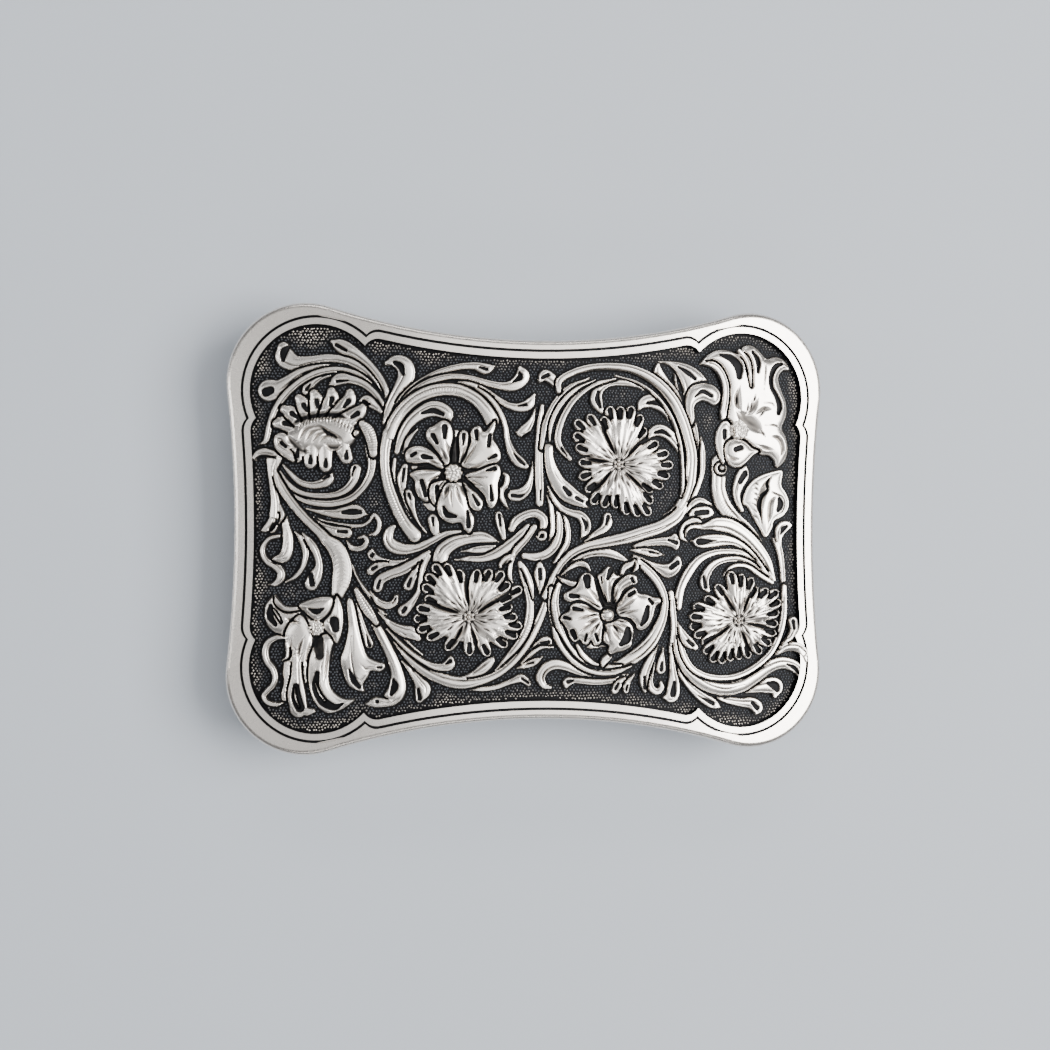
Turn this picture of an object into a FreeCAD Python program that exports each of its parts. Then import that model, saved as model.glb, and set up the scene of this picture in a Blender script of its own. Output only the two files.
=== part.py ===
"""A Western plate belt buckle for a 38 mm belt, as a parametric FreeCAD document.

Row frame, millimetres: X runs along the belt, Y up the wearer, Z out of the front face.
The origin lies under the middle of the plate, on the plane that the hardware rests on.
The bail end, which holds the fixed end of the belt, is at -X. The hook end is at +X.
"""
import FreeCAD
import Part
import Sketcher
import math
import os
from FreeCAD import Placement, Rotation, Vector

DRIVING_DIMENSIONS = {
    # plate outline, seen from the front
    "plate_half_width": 45.0,  # at the four corner lobes
    "plate_half_height": 33.0,
    "side_pull_in": 1.22,  # how far each side runs in between its lobes
    "top_pull_in": 5.2,
    "lobe_radius": 11.5,
    # plate section: the plate is bent about an axis along Y
    "face_radius": 220.0,
    "plate_thickness": 3.2,
    "edge_round": 0.8,
    "field_depth": 1.0,
    "back_pocket_depth": 1.0,
    "back_rim_width": 3.4,
    # engraved line, rail and sunk field on the front
    "top_border": 1.6,  # outline to the middle of the engraved line
    "side_border": 1.8,
    "line_width": 0.42,
    "line_depth": 0.4,
    "rail_width": 1.1,  # middle of the line to the edge of the field
    "lobe_line_radius": 10.7,
    "lobe_line_from_side": 13.05,  # side of the plate to the middle of the lobe's engraved line
    "lobe_line_from_top": 12.8,
    "top_shoulder_from_side": 19.8,
    "top_shoulder_radius": 2.2,
    "side_shoulder_from_top": 16.1,
    "side_shoulder_radius": 2.6,
    "top_scoop_depth": 4.0,  # how far the panels reach past the waists before the arcs trim them
    "side_scoop_depth": 2.0,
    "tool_margin": 2.0,  # how far a cutting tool runs past the metal
    # hinge of the bail
    "hinge_x": -22.0,
    "hinge_height": 3.9,  # above the plane that the buckle rests on
    "pin_radius": 1.25,
    "pin_head_radius": 1.9,
    "pin_head_height": 0.6,
    "pin_head_round": 0.35,
    "eye_clearance": 0.05,
    "eye_wall": 1.25,
    "eye_width": 3.8,
    "eye_side_gap": 0.3,
    # bail frame
    "belt_slot": 39.4,  # room for a 38 mm belt
    "wire_radius": 1.5,
    "bail_reach": 14.0,
    "bail_corner_radius": 3.6,
    # stamped saddle that carries the hinge pin
    "saddle_sheet": 1.2,
    "saddle_width": 10.0,
    "saddle_to_pin": 5.1,  # hinge axis to the mounting face of the saddle
    "ear_corner_radius": 2.4,
    "saddle_bend": 0.7,
    "saddle_outer_bend": 1.1,
    "boss_radius": 3.6,
    "boss_standoff": 1.9,  # how far the bosses stand below the back of the plate at its crown
    "boss_overlap": 0.4,  # how far they run up into the plate's skin
    "screw_spacing": 30.0,
    "screw_shank_radius": 1.25,
    "screw_length": 3.4,
    "screw_hole_relief": 0.1,  # room past the end of each screw
    "screw_head_radius": 2.2,
    "screw_head_height": 1.1,
    "screw_dome_round": 0.6,
    "screw_recess_width": 0.6,
    "screw_recess_depth": 0.6,
    # hook for the holes of the belt's free end
    "hook_x": 24.0,
    "post_radius": 1.75,
    "hook_bend_radius": 2.6,
    "nose_length": 3.0,
    "nose_tip_radius": 1.25,
    "belt_gap": 4.6,  # top of the nose to the flange
    "flange_radius": 3.4,
    "flange_height": 0.8,
    "washer_radius": 4.8,
    "washer_height": 0.6,
    "hook_boss_radius": 5.2,
    "tenon_radius": 1.6,
    "tenon_length": 2.2,
}

doc = FreeCAD.newDocument("belt_buckle")


def make_sheet(values):
    """Spreadsheet whose second column holds each driving dimension under its own alias."""
    sheet = doc.addObject("Spreadsheet::Sheet", "sizes")
    for row, (alias, value) in enumerate(values.items(), start=1):
        sheet.set(f"A{row}", alias)
        sheet.set(f"B{row}", str(value))
        sheet.setAlias(f"B{row}", alias)
    return sheet


def make_derived(sheet, first_row, formulas):
    """Cells worked out from the driving dimensions."""
    for row, (alias, formula) in enumerate(formulas.items(), start=first_row):
        sheet.set(f"A{row}", alias)
        sheet.set(f"B{row}", "=" + formula)
        sheet.setAlias(f"B{row}", alias)


DERIVED_SIZES = {
    # heights above the rest plane
    "saddle_top": "hinge_height + saddle_to_pin",
    "hook_axis_height": "post_radius",
    "flange_bottom": "2 * post_radius + belt_gap",
    "hook_pad": "flange_bottom + flange_height + washer_height",
    # the crown of the face, so that the saddle's bosses stand proud of the plate's back
    "crown_height": "saddle_top + plate_thickness + boss_standoff",
    "bend_axis_height": "crown_height - face_radius",
    "back_radius": "face_radius - plate_thickness",
    "pocket_radius": "back_radius + back_pocket_depth",
    "field_radius": "face_radius - field_depth",
    "line_radius": "face_radius - line_depth",
    # circles of the outline
    "waist_half_width": "plate_half_width - side_pull_in",
    "waist_half_height": "plate_half_height - top_pull_in",
    "lobe_x": "plate_half_width - lobe_radius",
    "lobe_y": "plate_half_height - lobe_radius",
    "top_drop": "waist_half_height - lobe_y",
    "top_arc": "(lobe_x^2 + top_drop^2 - lobe_radius^2) / (2 * (lobe_radius - top_drop))",
    "side_drop": "waist_half_width - lobe_x",
    "side_arc": "(lobe_y^2 + side_drop^2 - lobe_radius^2) / (2 * (lobe_radius - side_drop))",
    # places of the engraved line
    "lobe_line_x": "plate_half_width - lobe_line_from_side",
    "lobe_line_y": "plate_half_height - lobe_line_from_top",
    "top_shoulder_x": "plate_half_width - top_shoulder_from_side",
    "side_shoulder_y": "plate_half_height - side_shoulder_from_top",
    # bail
    "eye_radius": "pin_radius + eye_clearance + eye_wall",
    "leg_y": "belt_slot / 2 + wire_radius",
    "eye_outer_y": "leg_y + eye_width / 2",
    "ear_inner_y": "eye_outer_y + eye_side_gap",
    "ear_outer_y": "ear_inner_y + saddle_sheet",
    "bore_reach": "ear_outer_y + tool_margin",
    "bail_droop": "asin((hinge_height - wire_radius) / bail_reach)",
}

sheet = make_sheet(DRIVING_DIMENSIONS)
make_derived(sheet, len(DRIVING_DIMENSIONS) + 1, DERIVED_SIZES)
doc.recompute()


def size(alias):
    """Value of one cell, for guesses and checks in this script."""
    value = getattr(sheet, alias)
    return float(getattr(value, "Value", value))


def sized(formula):
    """Formula over sheet aliases, with each alias pointed at the sheet."""
    words = sorted(list(DRIVING_DIMENSIONS) + list(DERIVED_SIZES), key=len, reverse=True)
    marked = formula
    for number, word in enumerate(words):
        marked = marked.replace(word, f"@{number}@")
    for number, word in enumerate(words):
        marked = marked.replace(f"@{number}@", f"sizes.{word}")
    return marked


def add(kind, name, at=(None, None, None), turn=None, **sizes):
    """Part primitive whose sizes and place follow the sheet. turn is (axis, degrees)."""
    thing = doc.addObject(kind, name)
    if turn:
        thing.Placement = Placement(Vector(0, 0, 0), Rotation(Vector(*turn[0]), turn[1]))
    for letter, formula in zip("xyz", at):
        if formula is not None:
            thing.setExpression(f"Placement.Base.{letter}", sized(formula))
    for key, formula in sizes.items():
        thing.setExpression(key, sized(formula))
    return thing


def fuse(name, *shapes):
    joined = doc.addObject("Part::MultiFuse", name)
    joined.Shapes = list(shapes)
    joined.Refine = True
    return joined


def cut(name, base, tool):
    left = doc.addObject("Part::Cut", name)
    left.Base, left.Tool = base, tool
    left.Refine = True
    return left


def common(name, base, tool):
    shared = doc.addObject("Part::Common", name)
    shared.Base, shared.Tool = base, tool
    return shared


ALONG_Y = ((1, 0, 0), -90)  # turns a primitive's Z axis onto +Y
ALONG_X = ((0, 1, 0), 90)  # turns a primitive's Z axis onto +X
BEND_REACH = "1.2 * plate_half_height"  # how far the bend tools run past each side of the plate


def bend_cylinder(name, radius):
    """Solid cylinder about the axis that the plate is bent around."""
    return add("Part::Cylinder", name, ("0", f"-{BEND_REACH}", "bend_axis_height"), ALONG_Y,
               Radius=radius, Height=f"2 * {BEND_REACH}")


# ---------------------------------------------------------------- face plate

def outline_sketch(body):
    """Closed outline of eight tangent arcs: four convex lobes, four concave waists."""
    sketch = body.newObject("Sketcher::SketchObject", "outline_sketch")
    plane = [f for f in body.Origin.OriginFeatures if f.Role == "XY_Plane"][0]
    sketch.AttachmentSupport = [(plane, "")]
    sketch.MapMode = "FlatFace"
    lobe_x, lobe_y, lobe_radius = size("lobe_x"), size("lobe_y"), size("lobe_radius")
    top_arc, side_arc = size("top_arc"), size("side_arc")
    top_centre = size("waist_half_height") + top_arc
    side_centre = size("waist_half_width") + side_arc
    to_top = math.atan2(top_centre - lobe_y, -lobe_x)
    to_side = math.atan2(-lobe_y, side_centre - lobe_x)
    top_swing = math.atan2(lobe_x, top_centre - lobe_y)
    side_swing = math.atan2(lobe_y, side_centre - lobe_x)

    def arc(x, y, radius, start, end):
        circle = Part.Circle(Vector(x, y, 0), Vector(0, 0, 1), radius)
        return sketch.addGeometry(Part.ArcOfCircle(circle, start, end), False)

    down, left, right = -math.pi / 2, math.pi, 0.0
    lobe_ne = arc(lobe_x, lobe_y, lobe_radius, to_side, to_top)
    lobe_nw = arc(-lobe_x, lobe_y, lobe_radius, math.pi - to_top, math.pi - to_side)
    lobe_sw = arc(-lobe_x, -lobe_y, lobe_radius, math.pi + to_side, math.pi + to_top)
    lobe_se = arc(lobe_x, -lobe_y, lobe_radius, -to_top, -to_side)
    top = arc(0, top_centre, top_arc, down - top_swing, down + top_swing)
    bottom = arc(0, -top_centre, top_arc, -down - top_swing, -down + top_swing)
    west = arc(-side_centre, 0, side_arc, right - side_swing, right + side_swing)
    east = arc(side_centre, 0, side_arc, left - side_swing, left + side_swing)
    start, end, centre = 1, 2, 3
    joints = [
        (lobe_ne, end, top, end), (lobe_nw, start, top, start),
        (lobe_sw, end, bottom, end), (lobe_se, start, bottom, start),
        (lobe_ne, start, east, start), (lobe_se, end, east, end),
        (lobe_nw, end, west, end), (lobe_sw, start, west, start),
    ]
    for first, first_point, second, second_point in joints:
        sketch.addConstraint(Sketcher.Constraint("Tangent", first, first_point, second, second_point))
    for other in (lobe_nw, lobe_sw, lobe_se):
        sketch.addConstraint(Sketcher.Constraint("Equal", lobe_ne, other))
    sketch.addConstraint(Sketcher.Constraint("Equal", top, bottom))
    sketch.addConstraint(Sketcher.Constraint("Equal", east, west))
    sketch.addConstraint(Sketcher.Constraint("Symmetric", lobe_ne, centre, lobe_nw, centre, -2))
    sketch.addConstraint(Sketcher.Constraint("Symmetric", lobe_ne, centre, lobe_se, centre, -1))
    sketch.addConstraint(Sketcher.Constraint("Symmetric", lobe_ne, centre, lobe_sw, centre, -1, 1))

    def dimension(kind, *where, follows):
        number = sketch.addConstraint(Sketcher.Constraint(kind, *where, size(follows)))
        sketch.setExpression(f"Constraints[{number}]", sized(follows))

    dimension("Radius", lobe_ne, follows="lobe_radius")
    dimension("DistanceX", -1, 1, lobe_ne, centre, follows="lobe_x")
    dimension("DistanceY", -1, 1, lobe_ne, centre, follows="lobe_y")
    dimension("Radius", top, follows="top_arc")
    dimension("Radius", east, follows="side_arc")
    return sketch


def outline_prism():
    """Upright prism on the plate's outline, taller than the bent plate."""
    body = doc.addObject("PartDesign::Body", "outline_body")
    sketch = outline_sketch(body)
    pad = body.newObject("PartDesign::Pad", "outline_pad")
    pad.Profile = sketch
    pad.setExpression("Length", sized("crown_height + tool_margin"))
    sketch.Visibility = False
    return body


def panel_prism(name, inset, bottom="0"):
    """Prism on the cusped contour that runs inside the outline, inset by a formula.

    The contour is the union of a tall panel with concave top and bottom, a wide panel with
    concave sides and four lobe discs. The cusps are where the panels' shoulders meet the discs.
    """
    height = "crown_height + tool_margin"
    tall = add("Part::Box", name + "_tall",
               ("-top_shoulder_x", f"-(waist_half_height + top_scoop_depth - {inset})", bottom),
               Length="2 * top_shoulder_x", Width=f"2 * (waist_half_height + top_scoop_depth - {inset})",
               Height=height)
    wide = add("Part::Box", name + "_wide",
               (f"-(waist_half_width + side_scoop_depth - {inset})", "-side_shoulder_y", bottom),
               Length=f"2 * (waist_half_width + side_scoop_depth - {inset})", Width="2 * side_shoulder_y",
               Height=height)
    panels = []
    for panel, border, reach, arc, shoulder, axis in (
            (tall, "top_border", "waist_half_height", "top_arc", "top_shoulder_radius", "y"),
            (wide, "side_border", "waist_half_width", "side_arc", "side_shoulder_radius", "x")):
        radius = f"{arc} + {border} + {inset}"
        for side in (1, -1):
            centre = f"{side} * ({reach} + {arc})"
            at = ("0", centre, bottom) if axis == "y" else (centre, "0", bottom)
            scoop = add("Part::Cylinder", f"{panel.Name}_scoop_{'plus' if side > 0 else 'minus'}",
                        at, Radius=radius, Height=height)
            panel = cut(f"{panel.Name}_cut", panel, scoop)
        doc.recompute()
        rounded = doc.addObject("Part::Fillet", panel.Name + "_shoulders")
        rounded.Base = panel
        rounded.Edges = [(number, size(shoulder), size(shoulder))
                         for number, edge in enumerate(panel.Shape.Edges, start=1)
                         if is_upright(edge)]
        panels.append(rounded)
    for side_x in (1, -1):
        for side_y in (1, -1):
            corner = f"{'e' if side_x > 0 else 'w'}{'n' if side_y > 0 else 's'}"
            panels.append(add("Part::Cylinder", f"{name}_lobe_{corner}",
                              (f"{side_x} * lobe_line_x", f"{side_y} * lobe_line_y", bottom),
                              Radius=f"lobe_line_radius - {inset}", Height=height))
    return fuse(name, *panels)


def is_upright(edge):
    """True for a straight edge along Z."""
    if not isinstance(edge.Curve, (Part.Line, Part.LineSegment)):
        return False
    along = edge.Vertexes[0].Point.sub(edge.Vertexes[-1].Point)
    return abs(along.x) < 1e-6 and abs(along.y) < 1e-6


def axis_distance(point):
    """How far a point lies from the axis that the plate is bent around."""
    return math.hypot(point.x, point.z - size("bend_axis_height"))


def front_outline_edges(shape):
    """Numbers of the edges where the bent face meets the plate's side wall."""
    found = []
    for number, edge in enumerate(shape.Edges, start=1):
        samples = [edge.valueAt(edge.FirstParameter + t * (edge.LastParameter - edge.FirstParameter))
                   for t in (0.0, 0.37, 1.0)]
        if all(abs(axis_distance(p) - size("face_radius")) < 0.02 for p in samples):
            found.append(number)
    return found


def boss(name, x, y, radius, pad_height):
    """Round boss on the plate's back, from its pad up into the plate's skin."""
    column = add("Part::Cylinder", name + "_column", (x, y, pad_height),
                 Radius=radius, Height=f"crown_height - {pad_height}")
    return common(name, column, bend_cylinder(name + "_limit", "pocket_radius + boss_overlap"))


def face_plate():
    blank = common("plate_disc", outline_prism(), bend_cylinder("face_cylinder", "face_radius"))
    shell = cut("plate_shell", blank, bend_cylinder("back_cylinder", "back_radius"))
    doc.recompute()
    rounded = doc.addObject("Part::Fillet", "plate_edge_round")
    rounded.Base = shell
    rounded.Edges = [(number, size("edge_round"), size("edge_round"))
                     for number in front_outline_edges(shell.Shape)]

    line_ring = cut("line_ring",
                    panel_prism("line_outer", "(-line_width / 2)"),
                    panel_prism("line_inner", "(line_width / 2)"))
    line_tool = cut("line_tool", line_ring, bend_cylinder("line_floor", "line_radius"))
    field_tool = cut("field_tool", panel_prism("field_prism", "rail_width"),
                     bend_cylinder("field_floor", "field_radius"))
    lined = cut("lined_plate", rounded, line_tool)
    sunk = cut("sunk_plate", lined, field_tool)

    pocket_tool = common("pocket_tool", panel_prism("pocket_prism", "(back_rim_width - top_border)"),
                         bend_cylinder("pocket_ceiling", "pocket_radius"))
    pocketed = cut("pocketed_plate", sunk, pocket_tool)
    screw_y = "screw_spacing / 2"
    whole = fuse("bossed_plate", pocketed,
                 boss("screw_boss_upper", "hinge_x", screw_y, "boss_radius", "saddle_top"),
                 boss("screw_boss_lower", "hinge_x", f"-{screw_y}", "boss_radius", "saddle_top"),
                 boss("hook_boss", "hook_x", "0", "hook_boss_radius", "hook_pad"))
    shank_depth = "screw_length - saddle_sheet + screw_hole_relief"
    drills = fuse("plate_drills",
                  add("Part::Cylinder", "screw_hole_upper", ("hinge_x", screw_y, "saddle_top"),
                      Radius="screw_shank_radius", Height=shank_depth),
                  add("Part::Cylinder", "screw_hole_lower", ("hinge_x", f"-{screw_y}", "saddle_top"),
                      Radius="screw_shank_radius", Height=shank_depth),
                  add("Part::Cylinder", "tenon_hole", ("hook_x", "0", "hook_pad"),
                      Radius="tenon_radius", Height="tenon_length - washer_height"))
    return cut("face_plate", whole, drills)


# ------------------------------------------------------------- hinge and bail

def hinge_saddle():
    """Stamped strip screwed to the two bosses, with an ear bent down at each end."""
    strip = add("Part::Box", "saddle_strip",
                ("hinge_x - saddle_width / 2", "-ear_outer_y", "saddle_top - saddle_sheet"),
                Length="saddle_width", Width="2 * ear_outer_y", Height="saddle_sheet")
    ears = [add("Part::Box", f"saddle_ear_{end}", ("hinge_x - saddle_width / 2", y, "0"),
                Length="saddle_width", Width="saddle_sheet", Height="saddle_top")
            for end, y in (("upper", "ear_inner_y"), ("lower", "-ear_outer_y"))]
    blank = fuse("saddle_blank", strip, *ears)
    doc.recompute()
    bends = doc.addObject("Part::Fillet", "saddle_bends")
    bends.Base = blank
    bend, outer_bend, corner = size("saddle_bend"), size("saddle_outer_bend"), size("ear_corner_radius")
    edges = []
    for number, edge in enumerate(blank.Shape.Edges, start=1):
        middle = edge.CenterOfMass
        ends = [v.Point for v in edge.Vertexes]
        along_x = abs(ends[0].x - ends[-1].x) > size("saddle_width") - 0.01
        along_y = abs(ends[0].y - ends[-1].y) > size("saddle_sheet") - 0.01
        inner = abs(abs(middle.y) - size("ear_inner_y")) < 0.01
        outer = abs(abs(middle.y) - size("ear_outer_y")) < 0.01
        if along_x and inner and abs(middle.z - size("saddle_top") + size("saddle_sheet")) < 0.01:
            edges.append((number, bend, bend))
        elif along_x and outer and abs(middle.z - size("saddle_top")) < 0.01:
            edges.append((number, outer_bend, outer_bend))
        elif along_y and abs(middle.z) < 0.01:
            edges.append((number, corner, corner))
    bends.Edges = edges
    holes = [add("Part::Cylinder", "saddle_pin_hole", ("hinge_x", "-bore_reach", "hinge_height"),
                 ALONG_Y, Radius="pin_radius", Height="2 * bore_reach")]
    for end, y in (("upper", "screw_spacing / 2"), ("lower", "-screw_spacing / 2")):
        holes.append(add("Part::Cylinder", f"saddle_screw_hole_{end}",
                         ("hinge_x", y, "saddle_top - 2 * saddle_sheet"),
                         Radius="screw_shank_radius", Height="3 * saddle_sheet"))
    return cut("hinge_saddle", bends, fuse("saddle_holes", *holes))


def saddle_screw(end, y):
    """Pan-head screw, driven up through the saddle into its boss, with a slotted head."""
    shank = add("Part::Cylinder", f"screw_shank_{end}", ("hinge_x", y, "saddle_top - saddle_sheet"),
                Radius="screw_shank_radius", Height="screw_length")
    head = add("Part::Cylinder", f"screw_head_{end}",
               ("hinge_x", y, "saddle_top - saddle_sheet - screw_head_height"),
               Radius="screw_head_radius", Height="screw_head_height")
    doc.recompute()
    domed = doc.addObject("Part::Fillet", f"screw_dome_{end}")
    domed.Base = head
    low = size("saddle_top") - size("saddle_sheet") - size("screw_head_height")
    dome = size("screw_dome_round")
    domed.Edges = [(number, dome, dome) for number, edge in enumerate(head.Shape.Edges, start=1)
                   if abs(edge.CenterOfMass.z - low) < 1e-6]
    slot = add("Part::Box", f"screw_slot_{end}",
               ("hinge_x - 2 * screw_head_radius", f"{y} - screw_recess_width / 2",
                "saddle_top - saddle_sheet - screw_head_height - tool_margin"),
               Length="4 * screw_head_radius", Width="screw_recess_width",
               Height="tool_margin + screw_recess_depth")
    return cut(f"saddle_screw_{end}", fuse(f"screw_solid_{end}", shank, domed), slot)


def hinge_pin():
    """Straight pin staked in both ears, with a low head on each end."""
    shank = add("Part::Cylinder", "pin_shank", ("hinge_x", "-ear_outer_y", "hinge_height"), ALONG_Y,
                Radius="pin_radius", Height="2 * ear_outer_y")
    heads = [add("Part::Cylinder", f"pin_head_{end}", ("hinge_x", y, "hinge_height"), ALONG_Y,
                 Radius="pin_head_radius", Height="pin_head_height")
             for end, y in (("upper", "ear_outer_y"), ("lower", "-ear_outer_y - pin_head_height"))]
    blank = fuse("pin_blank", shank, *heads)
    doc.recompute()
    rounded = doc.addObject("Part::Fillet", "hinge_pin")
    rounded.Base = blank
    far = size("ear_outer_y") + size("pin_head_height")
    edge_round = size("pin_head_round")
    rounded.Edges = [(number, edge_round, edge_round)
                     for number, edge in enumerate(blank.Shape.Edges, start=1)
                     if abs(abs(edge.CenterOfMass.y) - far) < 1e-6]
    return rounded


def bail_frame():
    """Round-wire frame with an eye on each leg, hanging so that its bar rests on the plane."""
    corner_x = "-(bail_reach - bail_corner_radius)"
    corner_y = "leg_y - bail_corner_radius"
    pieces = [add("Part::Cylinder", "bail_bar", ("-bail_reach", f"-({corner_y})", "0"), ALONG_Y,
                  Radius="wire_radius", Height=f"2 * ({corner_y})")]
    for end, sign, turn in (("upper", "1", 90), ("lower", "-1", 180)):
        pieces.append(add("Part::Cylinder", f"bail_leg_{end}", (corner_x, f"{sign} * leg_y", "0"), ALONG_X,
                          Radius="wire_radius", Height="bail_reach - bail_corner_radius"))
        bend = add("Part::Torus", f"bail_corner_{end}", (corner_x, f"{sign} * ({corner_y})", "0"),
                   ((0, 0, 1), turn), Radius1="bail_corner_radius", Radius2="wire_radius")
        bend.Angle3 = 90
        pieces.append(bend)
        pieces.append(add("Part::Cylinder", f"bail_eye_{end}", ("0", f"{sign} * leg_y - eye_width / 2", "0"),
                          ALONG_Y, Radius="eye_radius", Height="eye_width"))
    solid = fuse("bail_solid", *pieces)
    bore = add("Part::Cylinder", "bail_bore", ("0", "-bore_reach", "0"), ALONG_Y,
               Radius="pin_radius + eye_clearance", Height="2 * bore_reach")
    frame = cut("bail_frame", solid, bore)
    frame.Placement = Placement(Vector(0, 0, 0), Rotation(Vector(0, -1, 0), 1))
    frame.setExpression("Placement.Base.x", sized("hinge_x"))
    frame.setExpression("Placement.Base.z", sized("hinge_height"))
    frame.setExpression("Placement.Rotation.Angle", sized("bail_droop"))
    return frame


# ----------------------------------------------------------------------- hook

def hook_washer():
    ring = add("Part::Cylinder", "washer_disc", ("hook_x", "0", "hook_pad - washer_height"),
               Radius="washer_radius", Height="washer_height")
    hole = add("Part::Cylinder", "washer_hole", ("hook_x", "0", "hook_pad - 2 * washer_height"),
               Radius="tenon_radius", Height="3 * washer_height")
    return cut("hook_washer", ring, hole)


def hook_post():
    """Post with a pressed tenon above its flange, bent towards +X into a tapered nose."""
    bend_top = "hook_axis_height + hook_bend_radius"
    tenon = add("Part::Cylinder", "hook_tenon", ("hook_x", "0", "flange_bottom + flange_height"),
                Radius="tenon_radius", Height="tenon_length")
    flange = add("Part::Cylinder", "hook_flange", ("hook_x", "0", "flange_bottom"),
                 Radius="flange_radius", Height="flange_height")
    post = add("Part::Cylinder", "hook_shaft", ("hook_x", "0", bend_top),
               Radius="post_radius", Height=f"flange_bottom - ({bend_top})")
    bend = add("Part::Torus", "hook_bend", ("hook_x + hook_bend_radius", "0", bend_top),
               Radius1="hook_bend_radius", Radius2="post_radius")
    quarter = Rotation(Vector(1, 0, 0), 90) * Rotation(Vector(0, 0, 1), 180)
    bend.Placement = Placement(bend.Placement.Base, quarter)
    bend.Angle3 = 90
    nose = add("Part::Cone", "hook_nose", ("hook_x + hook_bend_radius", "0", "hook_axis_height"), ALONG_X,
               Radius1="post_radius", Radius2="nose_tip_radius", Height="nose_length")
    tip = add("Part::Sphere", "hook_tip",
              ("hook_x + hook_bend_radius + nose_length", "0", "hook_axis_height"),
              Radius="nose_tip_radius")
    return fuse("hook_post", tenon, flange, post, bend, nose, tip)


# --------------------------------------------------------------------- export

SUB_PARTS = [
    face_plate(),
    hinge_saddle(),
    saddle_screw("upper", "screw_spacing / 2"),
    saddle_screw("lower", "-screw_spacing / 2"),
    hinge_pin(),
    bail_frame(),
    hook_washer(),
    hook_post(),
]
doc.recompute()

failed = [thing.Name for thing in doc.Objects if "Invalid" in thing.State or "Error" in thing.State]
if failed:
    raise SystemExit(f"these objects did not build: {failed}")
for part in SUB_PARTS:
    if part.Shape.isNull() or not part.Shape.isValid() or not part.Shape.Solids:
        raise SystemExit(f"{part.Label} has no valid solid")

os.makedirs("parts", exist_ok=True)
for part in SUB_PARTS:
    part.Shape.exportStep(os.path.join("parts", part.Label + ".step"))
    box = part.Shape.BoundBox
    print(f"{part.Label}: {len(part.Shape.Solids)} solid, {part.Shape.Volume:.1f} mm3, "
          f"x {box.XMin:.2f}..{box.XMax:.2f}, y {box.YMin:.2f}..{box.YMax:.2f}, z {box.ZMin:.2f}..{box.ZMax:.2f}")
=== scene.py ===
# %% [markdown]
# A Western plate belt buckle, face up, with cast scrolls and flowers in a sunk, blackened field.
# The metal pieces that carry load come packed from CAD and stay as they are. This script gives them
# their finishes, and makes what the caster and the engraver put on the front: the relief and the
# stippled ground. Every size below is in millimetres until a mesh is made.
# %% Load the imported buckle
import bpy
import math
import numpy as np
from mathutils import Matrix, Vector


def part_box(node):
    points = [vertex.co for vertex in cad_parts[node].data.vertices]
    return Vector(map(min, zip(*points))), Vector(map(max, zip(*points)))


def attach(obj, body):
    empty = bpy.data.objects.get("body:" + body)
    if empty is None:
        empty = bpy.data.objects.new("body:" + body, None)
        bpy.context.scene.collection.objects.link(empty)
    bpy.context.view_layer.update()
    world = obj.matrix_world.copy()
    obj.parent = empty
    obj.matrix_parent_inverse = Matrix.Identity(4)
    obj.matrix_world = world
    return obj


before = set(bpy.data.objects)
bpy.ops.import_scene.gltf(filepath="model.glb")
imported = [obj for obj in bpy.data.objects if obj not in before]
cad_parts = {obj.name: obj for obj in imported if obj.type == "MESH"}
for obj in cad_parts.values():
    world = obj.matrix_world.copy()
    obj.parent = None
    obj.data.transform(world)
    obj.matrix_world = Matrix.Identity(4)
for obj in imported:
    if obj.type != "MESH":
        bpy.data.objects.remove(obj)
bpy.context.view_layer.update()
MM = 0.001
plate_low, plate_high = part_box("face_plate")
CROWN = plate_high[2] / MM
print("plate", [round((b - a) / MM, 2) for a, b in zip(plate_low, plate_high)], "crown at", round(CROWN, 2))

# %% [markdown]
# The plate is bent about an axis that runs up the wearer, like a slice of a wide tube. The relief
# has to follow that bend, so one function turns a place on the plate and a height above the sunk
# field into a point in space. The field lies a millimetre under the face.
# %% The bend of the plate
FACE_RADIUS = 220.0
FIELD_DEPTH = 1.0
BEND_AXIS = CROWN - FACE_RADIUS


def bent(x, y, height):
    """Points on the bent field, lifted by height, in metres."""
    z = np.sqrt((FACE_RADIUS - FIELD_DEPTH + height) ** 2 - x ** 2) + BEND_AXIS
    return np.stack([x, y, z], axis=-1) * MM


print("field at the middle is", round(float(bent(0.0, 0.0, 0.0)[2]) / MM, 2), "mm up")

# %% [markdown]
# A modeller builds such relief in wax: a strand is laid on the ground, its edges are tooled, and
# each new strand is cut clear of what lies under it. Separate curve objects could do it, but their
# overlaps would be messy to mesh. Instead the wax is a fine grid of heights, and each strand,
# petal or cut changes the heights under it, in the order of the real work. Meshes are cut from the
# grid at the end, one for each flower or plant, so they share their borders without a gap.
# %% The wax: a grid of heights over the field
PITCH = 0.1
HALF_WIDTH, HALF_HEIGHT = 43.4, 30.6
grid_x = np.arange(-HALF_WIDTH, HALF_WIDTH + PITCH / 2, PITCH)
grid_y = np.arange(-HALF_HEIGHT, HALF_HEIGHT + PITCH / 2, PITCH)
height = np.zeros((len(grid_y), len(grid_x)))
owner = np.zeros(height.shape, dtype=int)  # 0 is bare ground
stain_and_shade = np.zeros(height.shape)  # black left in pits and cuts, and painted shade round carnation hearts and on the under petals of the roses
plants = ["ground"]
print("grid of", height.shape, "heights")


def plant(name):
    """Names the piece that the next strands belong to."""
    plants.append(name)
    print("modelling", name)


def smooth(t):
    """0 below 0, 1 above 1, with an easy slope between."""
    t = np.clip(t, 0.0, 1.0)
    return t * t * (3.0 - 2.0 * t)


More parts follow.
